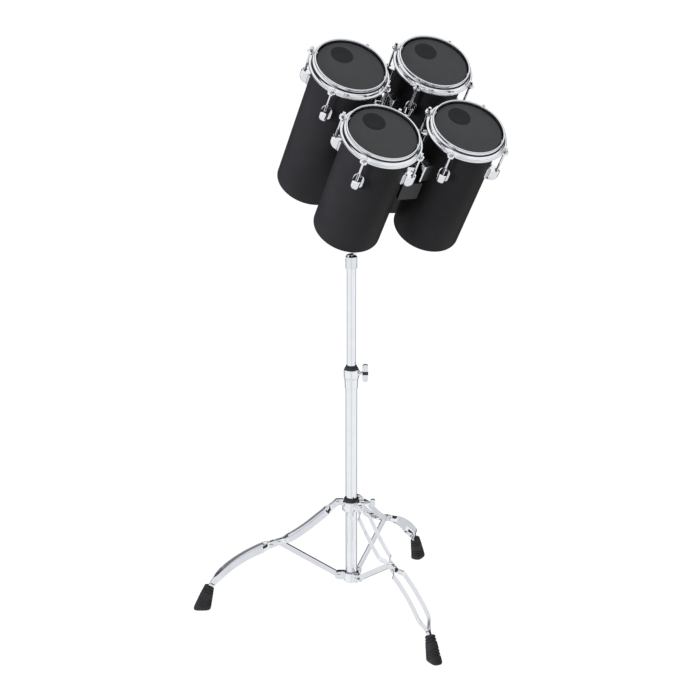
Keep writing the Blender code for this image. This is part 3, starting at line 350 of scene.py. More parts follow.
def new_material(name, **sockets):
    made = bpy.data.materials.new(name)
    made.use_nodes = True
    shader = made.node_tree.nodes["Principled BSDF"]
    for key, value in sockets.items():
        shader.inputs[key.replace("_", " ")].default_value = value
    return made, made.node_tree, shader


def chrome_finish(name, tone, smooth, rough):
    made, tree, shader = new_material(name, Metallic=1.0)
    cloud = noise(tree, 45.0, 4.0)
    dark = tuple(c * 0.94 for c in tone)
    link(tree, ramp(tree, cloud, [(0.3, dark), (0.7, tone)]), shader.inputs["Base Color"])
    link(tree, spread(tree, noise(tree, 160.0, 5.0), smooth, rough), shader.inputs["Roughness"])
    bumped(tree, shader, noise(tree, 35.0, 2.0), 0.006, 0.0004)
    return made


def shell_finish():
    made, tree, shader = new_material("octoban_shell_black", Roughness=0.45)
    shader.inputs["Specular IOR Level"].default_value = 0.09
    cloud = noise(tree, 9.0, 3.0)
    stops = [(0.35, (0.0160, 0.0146, 0.0160)), (0.65, (0.0215, 0.0196, 0.0206))]
    link(tree, ramp(tree, cloud, stops), shader.inputs["Base Color"])
    grain = noise(tree, 1100.0, 3.0, (1.0, 1.0, 0.6))
    link(tree, spread(tree, grain, 0.36, 0.62), shader.inputs["Roughness"])
    bumped(tree, shader, grain, 0.35, 0.00025)
    return made


def film_finish():
    made, tree, shader = new_material("head_film_grey")
    stops = [(0.3, (0.033, 0.038, 0.041)), (0.7, (0.040, 0.046, 0.049))]
    link(tree, ramp(tree, noise(tree, 22.0, 4.0), stops), shader.inputs["Base Color"])
    link(tree, spread(tree, noise(tree, 60.0, 4.0), 0.42, 0.56), shader.inputs["Roughness"])
    bumped(tree, shader, noise(tree, 1500.0, 2.0), 0.08, 0.0001)
    return made


def plain_finish(name, dark, light, smooth, rough, grain, strength, gloss=0.5):
    made, tree, shader = new_material(name)
    shader.inputs["Specular IOR Level"].default_value = gloss
    link(tree, ramp(tree, noise(tree, 30.0, 4.0), [(0.3, dark), (0.7, light)]), shader.inputs["Base Color"])
    link(tree, spread(tree, noise(tree, grain * 0.4, 3.0), smooth, rough), shader.inputs["Roughness"])
    bumped(tree, shader, noise(tree, grain, 3.0), strength, 0.0003)
    return made


chrome = chrome_finish("chrome_plate", (0.88, 0.89, 0.91), 0.03, 0.06)
satin_chrome = chrome_finish("chrome_cast", (0.80, 0.81, 0.83), 0.09, 0.17)
shell_black = shell_finish()
film_grey = film_finish()
patch_dark = plain_finish(
    "head_patch_dark", (0.010, 0.012, 0.015), (0.014, 0.016, 0.019), 0.45, 0.55, 900.0, 0.05, 0.2
)
coat_black = plain_finish(
    "frame_powder_coat", (0.010, 0.010, 0.010), (0.017, 0.017, 0.018), 0.38, 0.52, 1300.0, 0.35
)
nylon_black = plain_finish(
    "nylon_black", (0.012, 0.012, 0.013), (0.020, 0.020, 0.022), 0.34, 0.46, 700.0, 0.12
)
rubber_black = plain_finish(
    "boot_rubber", (0.012, 0.012, 0.013), (0.024, 0.024, 0.025), 0.55, 0.75, 800.0, 0.30
)


# Drums

def shell_mesh(length):
    edge = 1.4 * mm
    outline = [
        (SHELL_RADIUS, 0.8 * mm - length, edge),
        (SHELL_RADIUS, 0.0, edge),
        (SHELL_RADIUS - 1.5 * mm, 0.0, 0.3 * mm),
        (SHELL_RADIUS - SHELL_WALL, -3.5 * mm, 0.6 * mm),
        (SHELL_RADIUS - SHELL_WALL, 0.8 * mm - length, 1.0 * mm),
    ]
    return mesh_of("shell", lathe(rounded(outline, edge), ROUND), shell_black, 60)


def film_mesh():
    """The film, which bends over the bearing edge and runs down into its own hoop."""
    outline = [
        (0.0, 1.0 * mm),
        (71.3 * mm, 1.0 * mm, 1.6 * mm),
        (73.9 * mm, -1.7 * mm, 1.2 * mm),
        (73.9 * mm, -6.0 * mm, 0.0),
        (73.3 * mm, -6.0 * mm, 0.0),
        (73.3 * mm, -1.6 * mm, 1.0 * mm),
        (71.3 * mm, 0.3 * mm, 1.2 * mm),
        (0.0, 0.3 * mm),
    ]
    return mesh_of("film", lathe(rounded(outline, 0.0, 4, closed=False), ROUND, closed=False), film_grey, 60)


def flesh_ring_mesh():
    outline = [
        (73.95 * mm, -4.5 * mm),
        (78.3 * mm, -4.5 * mm),
        (78.3 * mm, -9.0 * mm),
        (73.4 * mm, -9.0 * mm),
        (73.4 * mm, -6.1 * mm),
        (73.95 * mm, -6.1 * mm),
    ]
    return mesh_of("flesh_ring", lathe(rounded(outline, 0.5 * mm), ROUND), satin_chrome)


def patch_mesh():
    """Plain round reinforcing patch with a fine rim, laid on the film."""
    top = 1.12 * mm
    rim = 1.16 * mm
    base = 1.02 * mm
    outline = [
        (0.0, top),
        (PATCH_RADIUS * 0.62, top),
        (PATCH_RADIUS * 0.63, rim),
        (PATCH_RADIUS * 0.66, rim),
        (PATCH_RADIUS * 0.67, top),
        (PATCH_RADIUS * 0.95, top),
        (PATCH_RADIUS * 0.97, rim),
        (PATCH_RADIUS, rim),
        (PATCH_RADIUS, base),
        (0.0, base),
    ]
    return mesh_of("patch", lathe(outline, 64, closed=False), patch_dark)


def hoop_mesh():
    """Triple-flanged hoop: rolled rim, wall, skirt over the flesh ring, lower flange and four ears."""
    bead = (76.6 * mm, 5.15 * mm)
    bead_radius = 2.05 * mm
    outline = [(74.5 * mm, 5.0 * mm, 0.0)]
    for i in range(13):
        angle = radians(178 - 19 * i)
        reach = bead_radius if i > 0 else 2.1 * mm
        outline.append((bead[0] + reach * cos(angle), bead[1] + reach * sin(angle), 0.0))
    outline += [
        (76.9 * mm, 2.6 * mm, 0.6 * mm),
        (76.9 * mm, 0.9 * mm, 1.6 * mm),
        (80.4 * mm, -1.9 * mm, 2.2 * mm),
        (82.0 * mm, -4.8 * mm, 2.0 * mm),
        (83.2 * mm, -8.3 * mm, 1.2 * mm),
        (86.9 * mm, -8.65 * mm, 1.5 * mm),
        (87.7 * mm, -10.7 * mm, 1.5 * mm),
        (86.9 * mm, -12.75 * mm, 1.4 * mm),
        (78.6 * mm, -12.75 * mm, 0.6 * mm),
        (78.6 * mm, -4.2 * mm, 0.4 * mm),
        (74.5 * mm, -4.2 * mm, 0.5 * mm),
    ]
    bm = lathe(rounded(outline, 0.5 * mm), ROUND)
    low, high = -12.5 * mm, -8.0 * mm
    for degree in LUG_ANGLES:
        turn = Matrix.Rotation(radians(degree), 4, "Z")
        outline = [
            (82.4 * mm, -11.0 * mm, 0.0),
            (88.6 * mm, -8.6 * mm, 3.0 * mm),
            (94.0 * mm, -7.4 * mm, 3.0 * mm),
            (96.5 * mm, -4.0 * mm, 3.0 * mm),
            (96.5 * mm, 4.0 * mm, 3.0 * mm),
            (94.0 * mm, 7.4 * mm, 3.0 * mm),
            (88.6 * mm, 8.6 * mm, 3.0 * mm),
            (82.4 * mm, 11.0 * mm, 0.0),
        ]
        ear = prism(rounded(outline, 2.0 * mm, 4), low, high)
        edges = [e for e in ear.edges if abs(e.verts[0].co.z - e.verts[1].co.z) < 1e-6]
        edges = [e for e in edges if max(v.co.x for v in e.verts) > 84.0 * mm]
        bmesh.ops.bevel(ear, geom=edges, offset=0.9 * mm, segments=2, profile=0.6, affect="EDGES")
        bm = joined(bm, moved(ear, turn))
    for degree in LUG_ANGLES:
        turn = Matrix.Rotation(radians(degree), 4, "Z")
        spot = turn @ Vector((ROD_CIRCLE, 0.0, 0.0))
        hole = rod((spot.x, spot.y, -20 * mm), (spot.x, spot.y, -2 * mm), 3.1 * mm)
        bm = cut(bm, hole)
    return mesh_of("hoop", bm, chrome, 42)


def lug_pod_mesh():
    """Cast pod at angle 0: a smooth bulb with a flat mouth where the rod goes in."""
    seat = SHELL_RADIUS + 0.3 * mm
    rings = []
    levels = 15
    count = 24
    for k in range(levels):
        share = k / (levels - 1)
        z = LUG_TOP - share * 31.0 * mm
        shrink = sqrt(max(1.0 - max(share - 0.42, 0.0) ** 2 / 0.36, 0.02))
        half = 9.0 * mm * (0.30 + 0.70 * shrink)
        reach = 23.6 * mm * (0.20 + 0.80 * shrink) * (0.965 + 0.035 * min(share / 0.1, 1.0))
        if k == 0:
            half -= 0.6 * mm
            reach -= 0.6 * mm
        ring = []
        for i in range(count):
            angle = 2 * pi * i / count
            across = sin(angle)
            out = cos(angle)
            y = half * abs(across) ** 0.62 * (1 if across > 0 else -1)
            inner = sqrt(seat * seat - y * y) + 1.0 * mm
            middle = inner + (SHELL_RADIUS + reach - inner) * 0.5
            depth = (SHELL_RADIUS + reach - inner) * 0.5
            x = middle + depth * abs(out) ** 0.55 * (1 if out > 0 else -1)
            ring.append(Vector((x, y, z)))
        rings.append(ring)
    pod = loft(rings)
    mouth = rod((ROD_CIRCLE, 0.0, LUG_TOP - 5.5 * mm), (ROD_CIRCLE, 0.0, LUG_TOP + 2 * mm), 4.6 * mm)
    return mesh_of("lug_pod", cut(pod, mouth), chrome, 40)


def lug_flange_mesh():
    """Arch-topped base flange that follows the shell."""
    seat = SHELL_RADIUS + 0.3 * mm
    half = 11.75 * mm
    top = LUG_TOP + 4.4 * mm
    bottom = top - 36.0 * mm
    rings = []
    count = 25
    for k in range(count):
        y = half * sin(pi / 2 * (-1 + 2 * k / (count - 1)))
        x = sqrt(seat * seat - y * y)
        arch = top - half + sqrt(max(half * half - y * y, 0.0))
        foot = bottom + half * 0.7 - sqrt(max(half * half - y * y, 0.0)) * 0.7
        thick = 2.2 * mm
        rings.append([
            Vector((x, y, foot)),
            Vector((x + thick * 0.6, y, foot)),
            Vector((x + thick, y, foot + 0.8 * mm)),
            Vector((x + thick, y, arch - 0.8 * mm)),
            Vector((x + thick * 0.6, y, arch)),
            Vector((x, y, arch)),
        ])
    return mesh_of("lug_flange", loft(rings), satin_chrome, 35)


def tension_rod_mesh():
    """Rod with a rolled thread at its lower end, a washer and a square key head."""
    washer = -7.7 * mm
    head = washer + 1.4 * mm
    bottom = LUG_TOP - 6.0 * mm
    outline = [(0.0, bottom), (2.3 * mm, bottom)]
    pitch = 0.8 * mm
    z = bottom + pitch
    while z < LUG_TOP + 20 * mm:
        outline.append((2.7 * mm, z - pitch / 2))
        outline.append((2.35 * mm, z))
        z += pitch
    outline += [
        (2.6 * mm, z + pitch),
        (2.6 * mm, washer),
        (5.0 * mm, washer),
        (5.0 * mm, head),
        (4.5 * mm, head),
        (4.5 * mm, head + 1.6 * mm),
        (3.6 * mm, head + 2.4 * mm),
        (0.0, head + 2.4 * mm),
    ]
    screw = lathe(outline, 20, closed=False)
    side = 2.9 * mm
    square = [(side, -side), (side, side), (-side, side), (-side, -side)]
    key = prism(rounded(square, 0.7 * mm, 2), head + 2.4 * mm, head + 8.3 * mm)
    top = [f for f in key.faces if min(v.co.z for v in f.verts) > head + 8.0 * mm]
    bmesh.ops.bevel(key, geom=list(top[0].edges), offset=0.5 * mm, segments=2, affect="EDGES")
    return mesh_of("tension_rod", merged(screw, key), chrome, 32)


def swivel_nut_mesh():
    outline = [
        (2.9 * mm, LUG_TOP - 5.3 * mm),
        (4.4 * mm, LUG_TOP - 5.3 * mm),
        (4.4 * mm, LUG_TOP - 2.6 * mm),
        (3.6 * mm, LUG_TOP - 1.8 * mm),
        (2.9 * mm, LUG_TOP - 1.8 * mm),
    ]
    return mesh_of("swivel_nut", lathe(outline, 24), nylon_black)


def clamp_mesh():
    """Chrome block at angle 0 that grips a post, slotted outwards."""
    seat = SHELL_RADIUS + 0.3 * mm
    reach = sqrt(POST_ACROSS ** 2 + POST_FORWARD ** 2)
    outer = reach + 9.0 * mm
    half = 10.0 * mm
    outline = [(outer, -half, 3.0 * mm), (outer, half, 3.0 * mm)]
    for k in range(9):
        y = half * (1 - k / 4)
        outline.append((sqrt(seat * seat - y * y), y, 0.0))
    low, high = -119.0 * mm, -75.0 * mm
    bm = prism(rounded(outline, 0.0, 5), low, high)
    edges = []
    for edge in bm.edges:
        level = abs(edge.verts[0].co.z - edge.verts[1].co.z) < 1e-6
        if level and (edge.verts[0].co.x + edge.verts[1].co.x) / 2 > seat + 2 * mm:
            edges.append(edge)
    bmesh.ops.bevel(bm, geom=edges, offset=1.2 * mm, segments=3, profile=0.6, affect="EDGES")
    bore = rod((reach, 0.0, low - 1 * mm), (reach, 0.0, high + 1 * mm), 5.4 * mm)
    slot = block((reach, -0.6 * mm, low - 1 * mm), (outer + 1 * mm, 0.6 * mm, high + 1 * mm))
    return mesh_of("clamp", cut(bm, bore, slot), chrome, 38)


def clamp_screw_mesh():
    """Square-headed screw through the clamp's lips, seen on one face."""
    reach = sqrt(POST_ACROSS ** 2 + POST_FORWARD ** 2) + 7.0 * mm
    collar = lathe([(0.0, 0.0), (3.1 * mm, 0.0), (3.1 * mm, 0.9 * mm), (0.0, 0.9 * mm)], 24, closed=False)
    side = 1.7 * mm
    square = rounded([(side, -side), (side, side), (-side, side), (-side, -side)], 0.4 * mm, 2)
    key = prism(square, 0.9 * mm, 3.2 * mm)
    parts = []
    for z in (-87.0 * mm, -107.0 * mm):
        spot = Matrix.Translation((reach - 3.5 * mm, -10.05 * mm, z)) @ Matrix.Rotation(pi / 2, 4, "X")
        parts.append(moved(collar.copy(), spot))
        parts.append(moved(key.copy(), spot))
    collar.free()
    key.free()
    return mesh_of("clamp_screw", merged(*parts), chrome, 32)


def drums():
    film, ring, patch, hoop = film_mesh(), flesh_ring_mesh(), patch_mesh(), hoop_mesh()
    pod, flange, screw, nut = lug_pod_mesh(), lug_flange_mesh(), tension_rod_mesh(), swivel_nut_mesh()
    clamp, clamp_screw = clamp_mesh(), clamp_screw_mesh()
    for name, (column, row) in SIDES.items():
        body = name + "_drum"
        axis = CLUSTER @ Matrix.Translation((column * GRID / 2, row * GRID / 2, 0.0))
        shell = shell_mesh(LENGTHS[name])
        place(name + "_shell_skin", shell, axis, body, [name + "_shell"])
        place(name + "_film", film, axis, body, [name + "_head"])
        place(name + "_flesh_ring", ring, axis, body)
        spot = axis @ Matrix.Translation((*PATCH_CENTRE, 0.0))
        place(name + "_patch", patch, spot, body)
        place(name + "_rim", hoop, axis, body, [name + "_hoop"])
        for number, degree in enumerate(LUG_ANGLES, start=1):
            turn = axis @ Matrix.Rotation(radians(degree), 4, "Z")
            end = "_%d" % number
            rod_place = turn @ Matrix.Translation((ROD_CIRCLE, 0.0, 0.0))
            place(name + "_pod" + end, pod, turn, body, [name + "_lug" + end])
            place(name + "_flange" + end, flange, turn, body)
            place(name + "_rod" + end, screw, rod_place, body)
            place(name + "_nut" + end, nut, rod_place, body)
        angle = atan2(-POST_FORWARD, -column * POST_ACROSS)
        turn = axis @ Matrix.Rotation(angle, 4, "Z")
        place(name + "_grip", clamp, turn, body, [name + "_clamp"])
        place(name + "_grip_screws", clamp_screw, turn, body)


# Black frame between the drums

def post_mesh():
    bottom, top, radius = -172.0 * mm, -66.0 * mm, 5.0 * mm
    outline = [(0.0, bottom), (radius, bottom, 0.5 * mm), (radius, top, 2.6 * mm), (0.0, top)]
    return mesh_of("post", lathe(rounded(outline, 0.0, 5, closed=False), 32, closed=False), coat_black)


def weld(path, radius=1.7 * mm):
    """Rippled bead along a closed path."""
    rings = []
    count = len(path)
    for i, spot in enumerate(path):
        heading = (path[(i + 1) % count] - path[i - 1]).normalized()
        side = heading.cross(Vector((0.3, 0.2, 0.9))).normalized()
        up = heading.cross(side)
        swell = radius * (1.0 + 0.13 * cos(pi * i))
        ring = [spot + (side * cos(a * pi / 4) + up * sin(a * pi / 4)) * swell for a in range(8)]
        rings.append(ring)
    return loft(rings, closed=True)


def corners_of(width, depth):
    x, y = width / 2, depth / 2
    return [(-x, -y), (x, -y), (x, y), (-x, y)]


def rectangle_path(width, depth, height, step=1.6 * mm):
    corners = corners_of(width, depth)
    path = []
    for (ax, ay), (bx, by) in zip(corners, corners[1:] + corners[:1]):
        start, end = Vector((ax, ay, height)), Vector((bx, by, height))
        count = int((end - start).length / step)
        path += [start.lerp(end, i / count) for i in range(count)]
    return path


def tube_outline(width, depth):
    return rounded(corners_of(width, depth), 3.0 * mm, 4)


def frame_pieces():
    body = "frame"
    centre_spine = (0.0, -40.0 * mm)
    arm = prism(stadium(PIVOT_SPOT, centre_spine, 20.0 * mm), ARM_BOTTOM, ARM_TOP)
    mesh = mesh_of("arm", arm, coat_black)
    place("frame_arm", mesh, CLUSTER, body, ["frame_stem"], bevel=1.2 * mm)
    spine = prism(tube_outline(20.0 * mm, 25.0 * mm), ARM_TOP - 1 * mm, -160.5 * mm)
    spine = moved(spine, Matrix.Translation((0.0, centre_spine[1], 0.0)))
    place("frame_spine", mesh_of("spine", spine, coat_black), CLUSTER, body)
    front = -GRID / 2 - POST_FORWARD - 4.5 * mm
    back = GRID / 2 - POST_FORWARD - 9.2 * mm
    outer = prism(tube_outline(20.0 * mm, 25.0 * mm), front, back)
    inner = prism(tube_outline(16.0 * mm, 21.0 * mm), front - 1 * mm, back + 1 * mm)
    lie = Matrix.Translation((0.0, 0.0, -149.5 * mm)) @ Matrix.Rotation(-pi / 2, 4, "X")
    beam = moved(cut(outer, inner), lie)
    place("frame_beam", mesh_of("beam", beam, coat_black), CLUSTER, body)
    at_spine = Matrix.Translation((0, centre_spine[1], 0))
    foot = moved(weld(rectangle_path(20 * mm, 25 * mm, ARM_TOP)), at_spine)
    top = moved(weld(rectangle_path(20 * mm, 25 * mm, -162 * mm)), at_spine)
    place("frame_welds", mesh_of("welds", merged(foot, top), coat_black, 80), CLUSTER, body)
    post = post_mesh()
    for name, row in (("front", -1), ("back", 1)):
        centre = row * GRID / 2 - POST_FORWARD
        low, high = centre - 8.7 * mm, centre - 4.7 * mm
        outline = [(-23 * mm, -173 * mm), (23 * mm, -173 * mm), (23 * mm, -126 * mm), (-23 * mm, -126 * mm)]
        plate = upright(prism(rounded(outline, 3.0 * mm, 4), -high, -low))
        mesh = mesh_of("bridge_plate", plate, coat_black)
        node = name + "_bridge"
        place(name + "_plate", mesh, CLUSTER, body, [node], bevel=0.7 * mm)
        for side in (-1, 1):
            spot = CLUSTER @ Matrix.Translation((side * (GRID / 2 - POST_ACROSS), centre, 0.0))
            tag = "_post_left" if side < 0 else "_post_right"
            place(name + tag, post, spot, body)


# Tilter

def toothed_disc(side):
    teeth = 36
    tip, root, back = 0.15 * mm, 1.05 * mm, 9.05 * mm

    def ring(radius, low, high):
        out = []
        for i in range(teeth * 2):
            angle = 2 * pi * (i + 0.5) / (teeth * 2)
            x = low if i % 2 == 0 else high
            out.append(Vector((side * x, radius * cos(angle), radius * sin(angle))))
        return out

    rings = [
        ring(4.4 * mm, root, root),
        ring(8.0 * mm, root, root),
        ring(14.6 * mm, tip, root),
        ring(15.0 * mm, tip + 0.4 * mm, root + 0.2 * mm),
        ring(15.0 * mm, back - 0.8 * mm, back - 0.8 * mm),
        ring(14.2 * mm, back, back),
        ring(4.4 * mm, back, back),
    ]
    return loft(rings, closed=True)


def wing(start, end, half, thick, shank, radius):
    """Two-lobed wing handle on a threaded shank along X."""
    depth = end - start
    side = [
        (start, half * 0.26),
        (start + depth * 0.40, half * 0.36),
        (start + depth * 0.55, half * 0.86),
        (start + depth * 0.80, half),
        (end, half * 0.84),
        (start + depth * 0.90, half * 0.28),
    ]
    outline = side + [(x, -y) for x, y in reversed(side)]
    handle = upright(prism(rounded(outline, depth * 0.22, 5), -thick / 2, thick / 2))
    hub = rod((start - 1.2 * mm, 0, 0), (start + depth * 0.55, 0, 0), thick * 0.62)
    stem = rod((shank, 0, 0), (start + depth * 0.3, 0, 0), radius)
    return joined(handle, hub, stem)


def tilter_pieces():
    sleeve = lathe(rounded([
        (12.6 * mm, -59.0 * mm, 0.8 * mm),
        (12.6 * mm, -33.0 * mm, 2.0 * mm),
        (9.0 * mm, -28.4 * mm, 1.5 * mm),
        (0.0, -28.4 * mm, 0.0),
        (0.0, -32.9 * mm, 0.0),
        (10.3 * mm, -32.9 * mm, 0.0),
        (10.3 * mm, -59.0 * mm, 0.4 * mm),
    ], 0.5 * mm), TUBE)
    neck = block((1.4 * mm, -7.5 * mm, -32.5 * mm), (8.7 * mm, 7.5 * mm, -12.7 * mm))
    body = joined(sleeve, neck, toothed_disc(1))
    mesh = mesh_of("tilter_lower", body, satin_chrome, 35)
    place("tilter_lower", mesh, PIVOT, "tilter", ["tilter_base"])
    neck = block((-8.7 * mm, -7.5 * mm, 12.7 * mm), (-1.4 * mm, 7.5 * mm, 27.0 * mm))
    outline = [
        (0.0, 23.7 * mm),
        (19.5 * mm, 23.7 * mm, 1.2 * mm),
        (19.5 * mm, 29.7 * mm, 1.2 * mm),
        (0.0, 29.7 * mm),
    ]
    pad = lathe(rounded(outline, 0.0, 3, closed=False), TUBE, closed=False)
    mesh = mesh_of("tilter_upper", joined(pad, neck, toothed_disc(-1)), satin_chrome, 35)
    place("tilter_upper", mesh, HEAD, "frame", ["tilter_head"])
    bolt = wing(12.0 * mm, 27.0 * mm, 19.0 * mm, 7.0 * mm, -8.0 * mm, 4.0 * mm)
    mesh = mesh_of("tilter_wing", bolt, chrome)
    place("tilter_wing", mesh, PIVOT, "tilter_bolt", ["tilter_wing_bolt"], bevel=1.0 * mm)


# Column

def ring_piece(name, outline, matrix, body, finish, nodes=(), softness=0.6 * mm, segments=TUBE):
    mesh = mesh_of(name, lathe(rounded(outline, softness), segments), finish, 40)
    return place(name, mesh, matrix, body, nodes)


def column_pieces():
    ring_piece("lower_tube", [
        (12.7 * mm, 64 * mm), (12.7 * mm, 564 * mm), (11.1 * mm, 564 * mm), (11.1 * mm, 64 * mm),
    ], COLUMN, "base", chrome, ["base_tube"])
    ring_piece("inner_tube", [
        (10.0 * mm, 370 * mm), (10.0 * mm, 816.6 * mm), (8.8 * mm, 816.6 * mm), (8.8 * mm, 370 * mm),
    ], COLUMN, "column", chrome, ["upper_tube"])
    ring_piece("height_sleeve", [
        (10.85 * mm, 535 * mm),
        (10.85 * mm, 564.3 * mm, 0.0),
        (14.8 * mm, 564.3 * mm),
        (14.8 * mm, 567.4 * mm, 1.2 * mm),
        (12.4 * mm, 569.6 * mm, 1.2 * mm),
        (12.0 * mm, 573.0 * mm, 1.0 * mm),
        (10.3 * mm, 573.0 * mm, 0.4 * mm),
        (10.3 * mm, 535 * mm),
    ], COLUMN, "base", nylon_black, ["height_bush"], 0.3 * mm)
    turned = COLUMN @ Matrix.Rotation(BOLT_AZIMUTH, 4, "Z")
    sleeve = lathe(rounded([
        (14.0 * mm, 521.0 * mm, 0.5 * mm),
        (14.4 * mm, 526.0 * mm, 1.5 * mm),
        (14.9 * mm, 541.5 * mm, 2.0 * mm),
        (16.6 * mm, 545.5 * mm, 1.6 * mm),
        (16.6 * mm, 563.9 * mm, 1.2 * mm),
        (13.0 * mm, 563.9 * mm, 0.0),
        (13.0 * mm, 521.0 * mm, 0.0),
    ], 0.5 * mm), TUBE)
    boss = rod((14.8 * mm, 0, HEIGHT_BOLT), (18.5 * mm, 0, HEIGHT_BOLT), 6.8 * mm, 36)
    hole = rod((6 * mm, 0, HEIGHT_BOLT), (30 * mm, 0, HEIGHT_BOLT), 3.9 * mm)
    mesh = mesh_of("height_grip", cut(joined(sleeve, boss), hole), chrome, 35)
    place("height_grip", mesh, turned, "base", ["height_clamp"])
    oval = [(24.6 * mm, -20.2 * mm, 5.0 * mm), (36.6 * mm, -20.2 * mm, 5.0 * mm)]
    oval += [(36.6 * mm, 20.2 * mm, 5.0 * mm), (24.6 * mm, 20.2 * mm, 5.0 * mm)]
    handle = upright(prism(rounded(oval, 5.0 * mm, 8), -4.0 * mm, 4.0 * mm))
    stem = rod((10.4 * mm, 0, 0), (27.0 * mm, 0, 0), 3.6 * mm)
    spot = turned @ Matrix.Translation((0.0, 0.0, HEIGHT_BOLT))
    mesh = mesh_of("height_wing", joined(handle, stem), chrome)
    place("height_wing", mesh, spot, "height_bolt", ["height_wing_bolt"], bevel=1.4 * mm, bevel_steps=3)
    core = block((24.4 * mm, -4.2 * mm, -4.0 * mm), (36.75 * mm, 4.2 * mm, 4.0 * mm))
    mesh = mesh_of("height_wing_core", core, nylon_black)
    place("height_wing_core", mesh, spot, "height_bolt", bevel=0.5 * mm)


# Leg collar and bottom hub

def rivet(radius, height):
    """Domed rivet head standing on z = 0."""
    outline = [(0.0, -0.1 * mm), (radius, -0.1 * mm)]
    for i in range(7):
        angle = radians(15 * i)
        outline.append((radius * cos(angle), height * (0.25 + 0.75 * sin(angle))))
    outline[-1] = (0.0, height)
    return lathe(outline, 24, closed=False)


def rivets(spots, faces, radius=4.4 * mm, height=1.4 * mm):
    """Rivet heads on both faces of a piece in a leg's plane. Spots are (x, z) places."""
    parts = []
    for x, z in spots:
        for face in faces:
            side = 1 if face > 0 else -1
            turn = Matrix.Rotation(-side * pi / 2, 4, "X")
            parts.append(moved(rivet(radius, height), Matrix.Translation((x, face, z)) @ turn))
    return merged(*parts)


def collar_pieces():
    place_at = COLUMN @ Matrix.Translation((0.0, 0.0, COLLAR_BOTTOM))
    height = 21.8 * mm
    band = lathe(rounded([
        (20.0 * mm, 0.0, 1.4 * mm),
        (20.0 * mm, height, 1.4 * mm),
        (15.35 * mm, height, 0.4 * mm),
        (15.35 * mm, 0.0, 0.4 * mm),
    ], 0.5 * mm), TUBE)
    pin = (COLLAR_PIN.x, COLLAR_PIN.y - COLLAR_BOTTOM)
    inside = 17.7 * mm
    bolt_height = 252.5 * mm - COLLAR_BOTTOM
    for azimuth in LEGS.values():
        outline = stadium((20.0 * mm, pin[1]), pin, 7.2 * mm)
        outline = [(max(x, inside), z) for x, z in outline]
        ear = upright(prism(outline, -3.5 * mm, 3.5 * mm))
        band = joined(band, moved(ear, Matrix.Rotation(azimuth, 4, "Z")))
    turn = Matrix.Rotation(BOLT_AZIMUTH, 4, "Z")
    boss = rod((inside, 0, bolt_height), (28.5 * mm, 0, bolt_height), 7.5 * mm, 40)
    hole = rod((7 * mm, 0, bolt_height), (60 * mm, 0, bolt_height), 4.0 * mm)
    band = cut(joined(band, moved(boss, turn)), moved(hole, turn))
    mesh = mesh_of("collar_band", band, chrome, 35)
    place("collar_band", mesh, place_at, "collar", ["leg_collar"], bevel=0.7 * mm)
    top = height + 0.3 * mm
    ring_piece("collar_sleeve", [
        (15.05 * mm, 0.0, 0.2 * mm),
        (15.05 * mm, top, 0.0),
        (16.6 * mm, top, 0.3 * mm),
        (16.6 * mm, top + 5.0 * mm, 1.4 * mm),
        (14.6 * mm, top + 8.5 * mm, 1.2 * mm),
        (12.95 * mm, top + 8.5 * mm, 0.3 * mm),
        (12.95 * mm, 0.0, 0.2 * mm),
    ], place_at, "collar", nylon_black, ["collar_bush"])
    grip = [(43.0 * mm, -8.0 * mm), (53.2 * mm, -8.0 * mm), (53.2 * mm, 8.0 * mm), (43.0 * mm, 8.0 * mm)]
    grip = upright(prism(rounded(grip, 4.0 * mm, 6), -3.5 * mm, 3.5 * mm))
    bolt = joined(grip, rod((13.1 * mm, 0, 0), (45.0 * mm, 0, 0), 3.6 * mm))
    spot = place_at @ turn @ Matrix.Translation((0.0, 0.0, bolt_height))
    mesh = mesh_of("collar_wing", bolt, chrome)
    place("collar_wing", mesh, spot, "collar_bolt", ["collar_wing_bolt"], bevel=0.9 * mm)


def hub_piece():
    hub = lathe(rounded([
        (17.0 * mm, 68.0 * mm, 1.2 * mm),
        (17.0 * mm, 88.0 * mm, 1.2 * mm),
        (13.0 * mm, 88.0 * mm, 0.3 * mm),
        (13.0 * mm, 68.0 * mm, 0.3 * mm),
    ], 0.5 * mm), TUBE)
    for azimuth in LEGS.values():
        outline = stadium((17.0 * mm, HUB_PIN.y), HUB_PIN, 9.0 * mm)
        outline = [(max(x, 15.0 * mm), z) for x, z in outline]
        for low, high in ((3.8 * mm, 6.6 * mm), (-6.6 * mm, -3.8 * mm)):
            ear = upright(prism(outline, low, high))
            hub = joined(hub, moved(ear, Matrix.Rotation(azimuth, 4, "Z")))
    mesh = mesh_of("hub_body", hub, chrome, 35)
    place("hub_body", mesh, COLUMN, "base", ["bottom_hub"], bevel=0.6 * mm)


# Legs

def curve(start, start_slope, end, end_slope, share_start, share_end, steps):
    chord = (end - start).length
    p1 = start + Vector((cos(start_slope), -sin(start_slope))) * chord * share_start
    p2 = end - Vector((cos(end_slope), -sin(end_slope))) * chord * share_end
    points = []
    for i in range(steps + 1):
        t = i / steps
        points.append(start * (1 - t) ** 3 + p1 * 3 * t * (1 - t) ** 2 + p2 * 3 * t * t * (1 - t) + end * t ** 3)
    return points


def smooth_between(stations, value):
    for (a, fa), (b, fb) in zip(stations, stations[1:]):
        if value <= b:
            t = max((value - a) / (b - a), 0.0)
            t = t * t * (3 - 2 * t)
            return fa + (fb - fa) * t
    return stations[-1][1]


